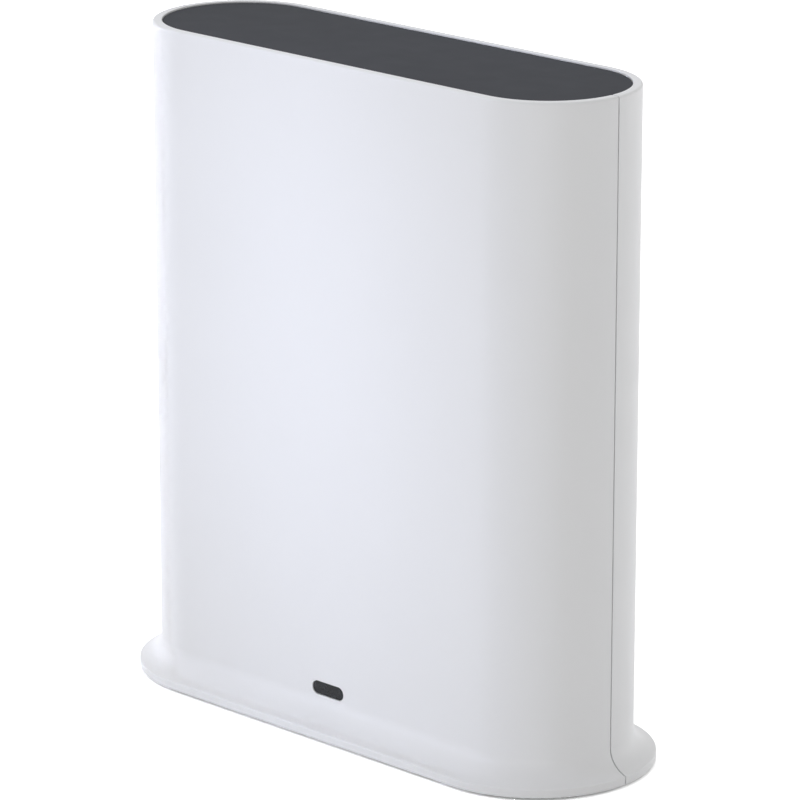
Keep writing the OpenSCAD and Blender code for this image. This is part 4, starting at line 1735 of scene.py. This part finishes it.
@dataclass
class SyncKey:
    """Sync button at the rear, with a dished cap that is pushed in."""

    diameter: float = 12.0
    gap: float = 0.2
    edge_round: float = 0.45
    dish: float = 0.22
    dish_rim: float = 0.3
    edge_steps: int = 6
    dish_steps: int = 10
    shoulder_gap: float = 0.1
    flange: float = 15.0
    flange_depth: float = 1.2
    stem: float = 5.0
    stem_round: float = 0.2
    guide_gap: float = 0.3
    guide_wall: float = 1.2
    guide_depth: float = 4.0

    @property
    def centre(self) -> Point2:
        """Place of the button across and up."""
        return NodeBox.of("sync_button").spot

    def guide(self, casing: Casing) -> Solid:
        """Ring behind the rear wall that guides the button.

        Args:
            casing: Casing that carries the ring.

        Returns:
            The ring.
        """
        bore = self.flange / 2 + self.guide_gap
        outer = bore + self.guide_wall
        front, rear = casing.inner_radius - self.guide_depth, casing.boss_root
        profile = [(bore, front), (outer, front), (outer, rear), (bore, rear)]
        return turned(profile, self.centre, Facing.REAR)

    def build(self, casing: Casing) -> None:
        """Makes the button.

        Args:
            casing: Casing whose rear wall it comes through.
        """
        box = NodeBox.of("sync_button")
        tip, face = box.low[1], box.high[1]
        shoulder = casing.inner_radius - self.shoulder_gap
        under = shoulder - self.flange_depth
        cap, edge = self.diameter / 2, self.edge_round
        stem, soft, flange = self.stem / 2, self.stem_round, self.flange / 2
        profile = [(0.0, tip), (stem - soft, tip), (stem, tip + soft), (stem, under), (flange, under),
                   (flange, shoulder), (cap, shoulder)]
        profile += [(cap - edge * (1 - math.cos(a)), face - edge * (1 - math.sin(a)))
                    for a in arc(0, QUARTER, self.edge_steps)]
        rim = cap - edge - self.dish_rim
        profile += [(rim * t, face - self.dish * (1 - t ** 2)) for t in arc(1, 0, self.dish_steps)]
        button = solid_object("sync_cap", turned(profile, self.centre, Facing.REAR, steps=72))
        finish_piece(button, BUTTON_WHITE, ["sync_button"], SYNC_KEY)


@dataclass
class SocketBay:
    """Recessed dark panel low on the rear, with the power, network and storage sockets."""

    trees: Trees
    width: float = 76.0
    height: float = 22.0
    gap: float = 0.2
    lip: float = 3.0
    lip_depth: float = 1.4
    lip_round: float = 0.1
    socket_gap: float = 0.25
    socket_corner: float = 0.5
    mouth_round: float = 0.22
    panel_root: float = 0.2
    edge_round: float = 0.3
    reset_hole: float = 1.6
    tube_bore: float = 2.72
    tube: float = 5.4
    tube_root: float = 0.6
    plug: KeyedBox = KeyedBox(11.9, 7.0, 6.2, 2.6)
    plug_lift: float = 0.9
    plug_round: float = 0.3
    insert_corner: float = 0.3
    insert_round: float = 0.15
    shield_wall: float = 0.3
    shell_wall: float = 0.35
    shell_corner: float = 0.6
    collar: float = 8.4
    collar_root: float = 1.0
    bore: float = 5.8
    bore_depth: float = 9.5
    bore_round: float = 0.4
    jack_depth: float = 11.0
    jack_corner: float = 0.4
    jack_round: float = 0.3
    pin_tip_share: float = 0.8
    spring_count: int = 8
    spring_width: float = 0.4
    spring_thickness: float = 0.3
    spring_root: float = 1.2
    spring_room: float = 0.5
    spring_drop: float = 3.2
    strip_count: int = 4
    strip_width: float = 1.2
    tongue_width: float = 11.1
    tongue_thickness: float = 1.9
    tongue_root: float = 0.4
    tongue_round: float = 0.3
    block_round: float = 0.2

    @property
    def centre(self) -> Point2:
        """Place of the bay across and up."""
        return NodeBox.of("socket_panel").spot

    def build_panel(self, casing: Casing) -> None:
        """Makes the panel with its mouths.

        Args:
            casing: Casing that the panel closes.
        """
        box = NodeBox.of("socket_panel")
        face = box.high[1]
        inner = casing.inner_radius - self.lip_depth
        outline = Slot(self.width - 2 * self.gap, self.height - 2 * self.gap)
        levels = prism_levels(inner + self.panel_root, face, 0.0, self.edge_round)
        panel = solid_object("socket_plate", loft(outline, self.centre, Facing.REAR, levels))
        wide = Slot(self.width + 2 * self.lip, self.height + 2 * self.lip)
        levels = prism_levels(inner, casing.inner_radius, self.lip_round, 0.0)
        merge_solid(panel, loft(wide, self.centre, Facing.REAR, levels), Merge.FUSE)
        bore, outer, root = self.tube_bore / 2, self.tube / 2, inner + self.tube_root
        tube = turned([(bore, box.low[1]), (outer, box.low[1]), (outer, root), (bore, root)],
                      NodeBox.of("reset_plunger").spot, Facing.REAR, steps=40)
        merge_solid(panel, tube, Merge.FUSE)
        room = 2 * self.socket_gap
        shield = NodeBox.of("network_socket_shield").size
        shell = NodeBox.of("storage_socket_shell").size
        cuts: dict[str, Outline] = {
            "network_socket_shield": RoundedBox(shield[0] + room, shield[2] + room, self.socket_corner),
            "storage_socket_shell": RoundedBox(shell[0] + room, shell[2] + room, self.socket_corner),
            "power_socket": Disc(self.collar + room),
            "reset_plunger": Disc(self.reset_hole, SMALL_STEPS),
        }
        levels = mouth_levels(inner - CUT_PAST, face, self.mouth_round)
        for node, shape in cuts.items():
            merge_solid(panel, loft(shape, NodeBox.of(node).spot, Facing.REAR, levels), Merge.CUT)
        finish_piece(panel, PANEL_GREY, ["socket_panel"])

    def sleeve(self, node: str, name: str, wall: float, corner: float) -> bpy.types.Object:
        """Folded metal sleeve of a socket.

        Args:
            node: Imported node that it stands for.
            name: Name of the new piece.
            wall: Thickness of the metal.
            corner: Outer rounding of its corners.

        Returns:
            The piece.
        """
        box = NodeBox.of(node)
        edge = wall / 3
        outside = RoundedBox(box.size[0], box.size[2], corner)
        inside = RoundedBox(box.size[0] - 2 * wall, box.size[2] - 2 * wall, corner - wall / 2)
        levels = prism_levels(box.low[1], box.high[1], 0.0, edge)
        obj = solid_object(name, loft(outside, box.spot, Facing.REAR, levels))
        levels = mouth_levels(box.low[1] - CUT_PAST, box.high[1], edge)
        merge_solid(obj, loft(inside, box.spot, Facing.REAR, levels), Merge.CUT)
        return finish_piece(obj, SHIELD_TIN, [node])

    def build_network(self) -> None:
        """Makes the network socket: its sleeve, its insert and its eight contacts."""
        self.sleeve("network_socket_shield", "network_sleeve", self.shield_wall, self.socket_corner)
        box = NodeBox.of("network_socket_body")
        outline = RoundedBox(box.size[0], box.size[2], self.insert_corner)
        levels = prism_levels(box.low[1], box.high[1], 0.0, self.insert_round)
        insert = solid_object("network_insert", loft(outline, box.spot, Facing.REAR, levels))
        mouth = (box.spot[0], box.spot[1] + self.plug_lift)
        levels = mouth_levels(NodeBox.of("network_contacts").low[1], box.high[1], self.plug_round)
        merge_solid(insert, loft(self.plug, mouth, Facing.REAR, levels), Merge.CUT)
        finish_piece(insert, SOCKET_BLACK, ["network_socket_body"])
        self.build_springs()

    def build_storage(self) -> None:
        """Makes the storage socket: its shell, its tongue and its four contacts."""
        self.sleeve("storage_socket_shell", "storage_sleeve", self.shell_wall, self.shell_corner)
        box = NodeBox.of("storage_socket_tongue")
        strips = NodeBox.of("storage_contacts")
        back, low = strips.low[1], strips.high[2]
        block = plate(box.low, (box.high[0], back, box.high[2]), self.block_round)
        tongue = solid_object("storage_tongue", block)
        middle, half = box.centre[0], self.tongue_width / 2
        tip = plate((middle - half, back - self.tongue_root, low),
                    (middle + half, box.high[1], low + self.tongue_thickness), self.tongue_round)
        merge_solid(tongue, tip, Merge.FUSE)
        finish_piece(tongue, TONGUE_WHITE, ["storage_socket_tongue"])
        middle, half = strips.centre[0], self.strip_width / 2
        edge = strips.size[2] / 4
        strip = plate((middle - half, back, strips.low[2]), (middle + half, strips.high[1], low), edge)
        self.contacts("storage_pins", "storage_contacts", strip, self.strip_width, self.strip_count)

    def build_springs(self) -> None:
        """Makes the contact springs of the network socket, which slope down from the roof of its mouth."""
        box = NodeBox.of("network_contacts")
        roof = box.high[2] - self.spring_thickness / 2
        turn = (box.high[1] - self.spring_root, roof)
        tip = (box.low[1] + self.spring_room, roof - self.spring_drop)
        slope = Vector(tip) - Vector(turn)
        down = Vector(turn) + slope * (self.spring_root / slope.length)
        start = (turn[0] + self.spring_root / 2, roof)
        path = [(box.high[1], roof)] + bend(start, turn, tuple(down), ROUND_STEPS) + [tip]
        spring = ribbon(path, box.centre[0], self.spring_width, self.spring_thickness)
        self.contacts("network_pins", "network_contacts", spring, self.spring_width, self.spring_count)

    def contacts(self, name: str, node: str, contact: Solid, width: float, count: int) -> None:
        """Makes a row of contacts.

        Args:
            name: Name of the new piece.
            node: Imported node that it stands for.
            contact: Shape of the middle contact.
            width: Width of one contact.
            count: Number of contacts.
        """
        pitch = (NodeBox.of(node).size[0] - width) / (count - 1)
        row = self.trees.row(name, contact, CONTACT_GOLD, count, (pitch, 0.0, 0.0))
        finish_piece(row, CONTACT_GOLD, [node])

    def build_power(self) -> None:
        """Makes the power socket with its bore, and its pin with a rounded tip."""
        box = NodeBox.of("power_socket")
        place = box.spot
        block_face = box.low[1] + self.jack_depth
        outline = RoundedBox(box.size[0], box.size[2], self.jack_corner)
        levels = prism_levels(box.low[1], block_face, 0.0, self.jack_round)
        jack = solid_object("power_jack", loft(outline, place, Facing.REAR, levels))
        levels = prism_levels(block_face - self.collar_root, box.high[1], 0.0, self.jack_round)
        merge_solid(jack, loft(Disc(self.collar), place, Facing.REAR, levels), Merge.FUSE)
        levels = mouth_levels(box.high[1] - self.bore_depth, box.high[1], self.bore_round)
        merge_solid(jack, loft(Disc(self.bore, steps=48), place, Facing.REAR, levels), Merge.CUT)
        finish_piece(jack, SOCKET_BLACK, ["power_socket"])
        pin = NodeBox.of("power_socket_pin")
        radius = pin.size[0] / 2
        profile = [(0.0, pin.low[1]), (radius, pin.low[1])]
        profile += [(radius * math.cos(a), pin.high[1] - radius * (1 - math.sin(a)) * self.pin_tip_share)
                    for a in arc(0, QUARTER, steps=8)]
        obj = solid_object("power_pin", turned(profile, place, Facing.REAR, steps=40))
        finish_piece(obj, PIN_NICKEL, ["power_socket_pin"])

    def build(self, casing: Casing) -> None:
        """Makes the panel and all its sockets.

        Args:
            casing: Casing that the panel closes.
        """
        self.build_panel(casing)
        self.build_network()
        self.build_storage()
        self.build_power()


@dataclass
class Electronics:
    """Board, aerials and the other inner pieces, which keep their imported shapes."""

    nodes: dict[str, bpy.types.Object]

    def finishes(self) -> dict[str, Finish]:
        """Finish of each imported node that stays.

        Returns:
            The finishes by the nodes' names.
        """
        chips = ("processor", "radio_chip", "memory_chips", "flash_chip", "network_coupler")
        tins = ("radio_shield", "crystal")
        boards = ("main_board", "left_aerial", "right_aerial")
        switches = ("sync_switch", "reset_switch")
        actuators = ("sync_switch_actuator", "reset_switch_actuator")
        return {
            **dict.fromkeys(chips, CHIP_BLACK),
            **dict.fromkeys(tins, SHIELD_TIN),
            **dict.fromkeys(boards, BOARD_GREEN),
            **dict.fromkeys(switches, SWITCH_BLACK),
            **dict.fromkeys(actuators, SOCKET_BLACK),
            **dict.fromkeys(("left_aerial_trace", "right_aerial_trace"), TRACK_COPPER),
            **dict.fromkeys(("left_aerial_lead", "right_aerial_lead"), LEAD_SHEATH),
            "aerial_sockets": CONTACT_GOLD,
            "board_screws": SCREW_ZINC,
            "capacitors": CAN_ALUMINIUM,
            "heat_sink": SINK_ALUMINIUM,
            "heat_sink_pins": PIN_NYLON,
            "light_pipe": PIPE_CLEAR,
            "power_coils": COIL_FERRITE,
            "reset_plunger": SWITCH_BLACK,
            "status_light": LIGHT_RESIN,
            "thermal_pad": PAD_SILICONE,
        }

    def build(self) -> None:
        """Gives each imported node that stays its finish."""
        for name, finish in self.finishes().items():
            finish.dress(self.nodes[name])
            log.info("%s: packed shape in %s", name, finish.name)


@dataclass(frozen=True)
class SoftBox:
    """Soft lamp that faces the object.

    Attributes:
        name: Name of the lamp.
        place: Its place, in metres.
        target: Point that it faces, in metres.
        size: Width and height of its face, in metres.
        power: Its power, in watts.
        colour: Colour of its light.
        spread: Full angle of its beam, narrower with a grid in front.
    """

    name: str
    place: Point3
    target: Point3
    size: Point2
    power: float
    colour: Colour
    spread: float = math.pi

    def build(self) -> None:
        """Makes the lamp, which the camera doesn't see."""
        data = bpy.data.lights.new(self.name, "AREA")
        data.shape = "RECTANGLE"
        data.size, data.size_y = self.size
        data.energy = self.power
        data.color = self.colour
        data.spread = self.spread
        lamp = bpy.data.objects.new(self.name, data)
        lamp.location = self.place
        aim = Vector(self.target) - Vector(self.place)
        lamp.rotation_euler = aim.to_track_quat("-Z", "Y").to_euler()
        lamp.visible_camera = False
        bpy.context.scene.collection.objects.link(lamp)


@dataclass(frozen=True)
class SkyPart:
    """Soft light from low down or from overhead, which may lean to one side.

    Attributes:
        strength: Its strength in the middle.
        lean: What the strength gains along X, Y and Z.
    """

    strength: float
    lean: Point3


@dataclass
class Studio:
    """Pale floor, soft light and the camera at the photograph's view."""

    height: float
    stand: float
    azimuth: float = math.radians(43.862)
    elevation: float = math.radians(16.664)
    distance_share: float = 6.972
    focal_px: float = 4779.1
    image_px: float = 800.0
    centre_px: Point2 = (390.90, 384.25)
    sensor: float = 36.0
    floor_side: float = 8.0
    floor_bounce: float = 0.8
    horizon: SkyPart = SkyPart(0.66, (0.0, 0.39, 0.0))
    zenith: SkyPart = SkyPart(0.757, (-0.757, 0.0, 0.0))

    def lamps(self) -> list[SoftBox]:
        """The soft lamps round the object.

        Returns:
            The lamps, not yet made.
        """
        middle = (0.0, 0.0, 0.07)
        return [
            SoftBox("front_box", place=(-0.45, -0.78, 0.42), target=(-0.006, -0.02, 0.092), size=(0.03, 0.17),
                    power=0.0222, colour=(0.725, 0.78, 1.0), spread=math.radians(10.4)),
            SoftBox("left_box", place=(-1.15, -0.05, 0.36), target=middle, size=(0.5, 0.5),
                    power=4.0, colour=(0.81, 0.835, 1.0)),
            SoftBox("fill_box", place=(0.77, -1.1, 0.2), target=middle, size=(0.8, 0.4),
                    power=2.65, colour=(1.0, 0.985, 0.965)),
            SoftBox("rear_box", place=(0.5, 1.25, 0.15), target=middle, size=(0.8, 0.4),
                    power=1.5, colour=(1.0, 1.0, 1.0)),
        ]

    def build_camera(self) -> None:
        """Makes the camera that the photograph's outline was fitted with."""
        span = self.height - self.stand
        distance = self.distance_share * span * MM
        centre = Vector((0.0, 0.0, (self.stand + span / 2) * MM))
        along, across = math.cos(self.azimuth), math.sin(self.azimuth)
        level = math.cos(self.elevation)
        back = Vector((across * level, -along * level, math.sin(self.elevation)))
        right = Vector((along, across, 0.0))
        up = back.cross(right)
        middle = self.image_px / 2
        per_px = distance / self.focal_px
        place = centre + back * distance
        place -= right * (self.centre_px[0] - middle) * per_px
        place += up * (self.centre_px[1] - middle) * per_px
        data = bpy.data.cameras.new("camera")
        data.sensor_width = self.sensor
        data.lens = self.focal_px / self.image_px * self.sensor
        camera = bpy.data.objects.new("camera", data)
        camera.matrix_world = Matrix.Translation(place) @ Matrix((right, up, back)).transposed().to_4x4()
        bpy.context.scene.collection.objects.link(camera)
        bpy.context.scene.camera = camera

    def seen_directly(self, work: NodeWork) -> bpy.types.NodeSocket:
        """Light paths on which floor and world are shown white.

        Args:
            work: Nodes that the test is added to.

        Returns:
            Socket that is 1 for the camera, for reflections and through clear plastic.
        """
        path = work.add("ShaderNodeLightPath")
        seen = path.outputs["Is Camera Ray"]
        for name in ("Is Glossy Ray", "Is Transmission Ray"):
            node = work.add("ShaderNodeMath", operation="MAXIMUM")
            work.feed(node.inputs[0], seen)
            work.feed(node.inputs[1], path.outputs[name])
            seen = node.outputs["Value"]
        return seen

    def build_world(self) -> None:
        """Makes the world: white where it is seen, and a soft light that leans to one side on the object."""
        world = bpy.data.worlds.new("studio")
        world.use_nodes = True
        work = NodeWork(world.node_tree)
        place = work.add("ShaderNodeTexCoord").outputs["Generated"]
        rise = work.add("ShaderNodeSeparateXYZ", {"Vector": place}).outputs["Z"]
        level = work.add("ShaderNodeMix", {"Factor": rise}, data_type="FLOAT")
        for name, part in (("A", self.horizon), ("B", self.zenith)):
            slope = work.add("ShaderNodeVectorMath", operation="DOT_PRODUCT")
            work.feed(slope.inputs[0], place)
            work.feed(slope.inputs[1], part.lean)
            total = work.add("ShaderNodeMath", operation="ADD")
            work.feed(total.inputs[0], slope.outputs["Value"])
            work.feed(total.inputs[1], part.strength)
            work.feed(level.inputs[name], total.outputs["Value"])
        light = work.add("ShaderNodeBackground", {"Color": WHITE, "Strength": level.outputs["Result"]})
        white = work.add("ShaderNodeBackground", {"Color": WHITE})
        mixed = work.add("ShaderNodeMixShader", {"Fac": self.seen_directly(work)})
        work.feed(mixed.inputs[1], light.outputs["Background"])
        work.feed(mixed.inputs[2], white.outputs["Background"])
        work.add("ShaderNodeOutputWorld", {"Surface": mixed.outputs["Shader"]})
        bpy.context.scene.world = world

    def build_floor(self) -> None:
        """Makes the floor, shown as two white layers so that it reads white and keeps the object's shadow."""
        half = self.floor_side / MM / 2
        solid = Solid([(-half, -half, 0.0), (half, -half, 0.0), (half, half, 0.0), (-half, half, 0.0)],
                      [(0, 1, 2, 3)])
        floor = solid_object("floor", solid)
        material = bpy.data.materials.new("floor_white")
        material.use_nodes = True
        work = NodeWork(material.node_tree)
        dull = work.add("ShaderNodeBsdfDiffuse", {"Color": (*[self.floor_bounce] * 3, 1.0)})
        matt = work.add("ShaderNodeBsdfDiffuse", {"Color": WHITE})
        shown = work.add("ShaderNodeAddShader")
        for layer in shown.inputs:
            work.feed(layer, matt.outputs["BSDF"])
        mixed = work.add("ShaderNodeMixShader", {"Fac": self.seen_directly(work)})
        work.feed(mixed.inputs[1], dull.outputs["BSDF"])
        work.feed(mixed.inputs[2], shown.outputs["Shader"])
        work.add("ShaderNodeOutputMaterial", {"Surface": mixed.outputs["Shader"]})
        floor.data.materials.append(material)

    def build(self) -> None:
        """Makes the whole studio."""
        self.build_camera()
        self.build_world()
        self.build_floor()
        for lamp in self.lamps():
            lamp.build()
        bpy.context.scene.view_settings.view_transform = "Standard"


def clear_start_scene() -> None:
    """Removes the objects that a new file starts with."""
    for obj in list(bpy.data.objects):
        bpy.data.objects.remove(obj)


def main() -> None:
    """Builds the dressed object and its studio."""
    logging.basicConfig(level=logging.INFO, format="%(message)s")
    clear_start_scene()
    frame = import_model()
    trees = Trees()
    casing = Casing.from_frame(trees)
    lens = StatusLens()
    bay = SocketBay(trees)
    key = SyncKey()
    foot = Foot(casing)
    Studio(casing.height, casing.stand).build()
    casing.build_front(lens, foot)
    casing.build_rear(bay, key, foot)
    TopCover(casing).build()
    lens.build(casing)
    foot.build()
    key.build(casing)
    bay.build(casing)
    Electronics(frame["nodes"]).build()


if __name__ == "__main__":
    main()
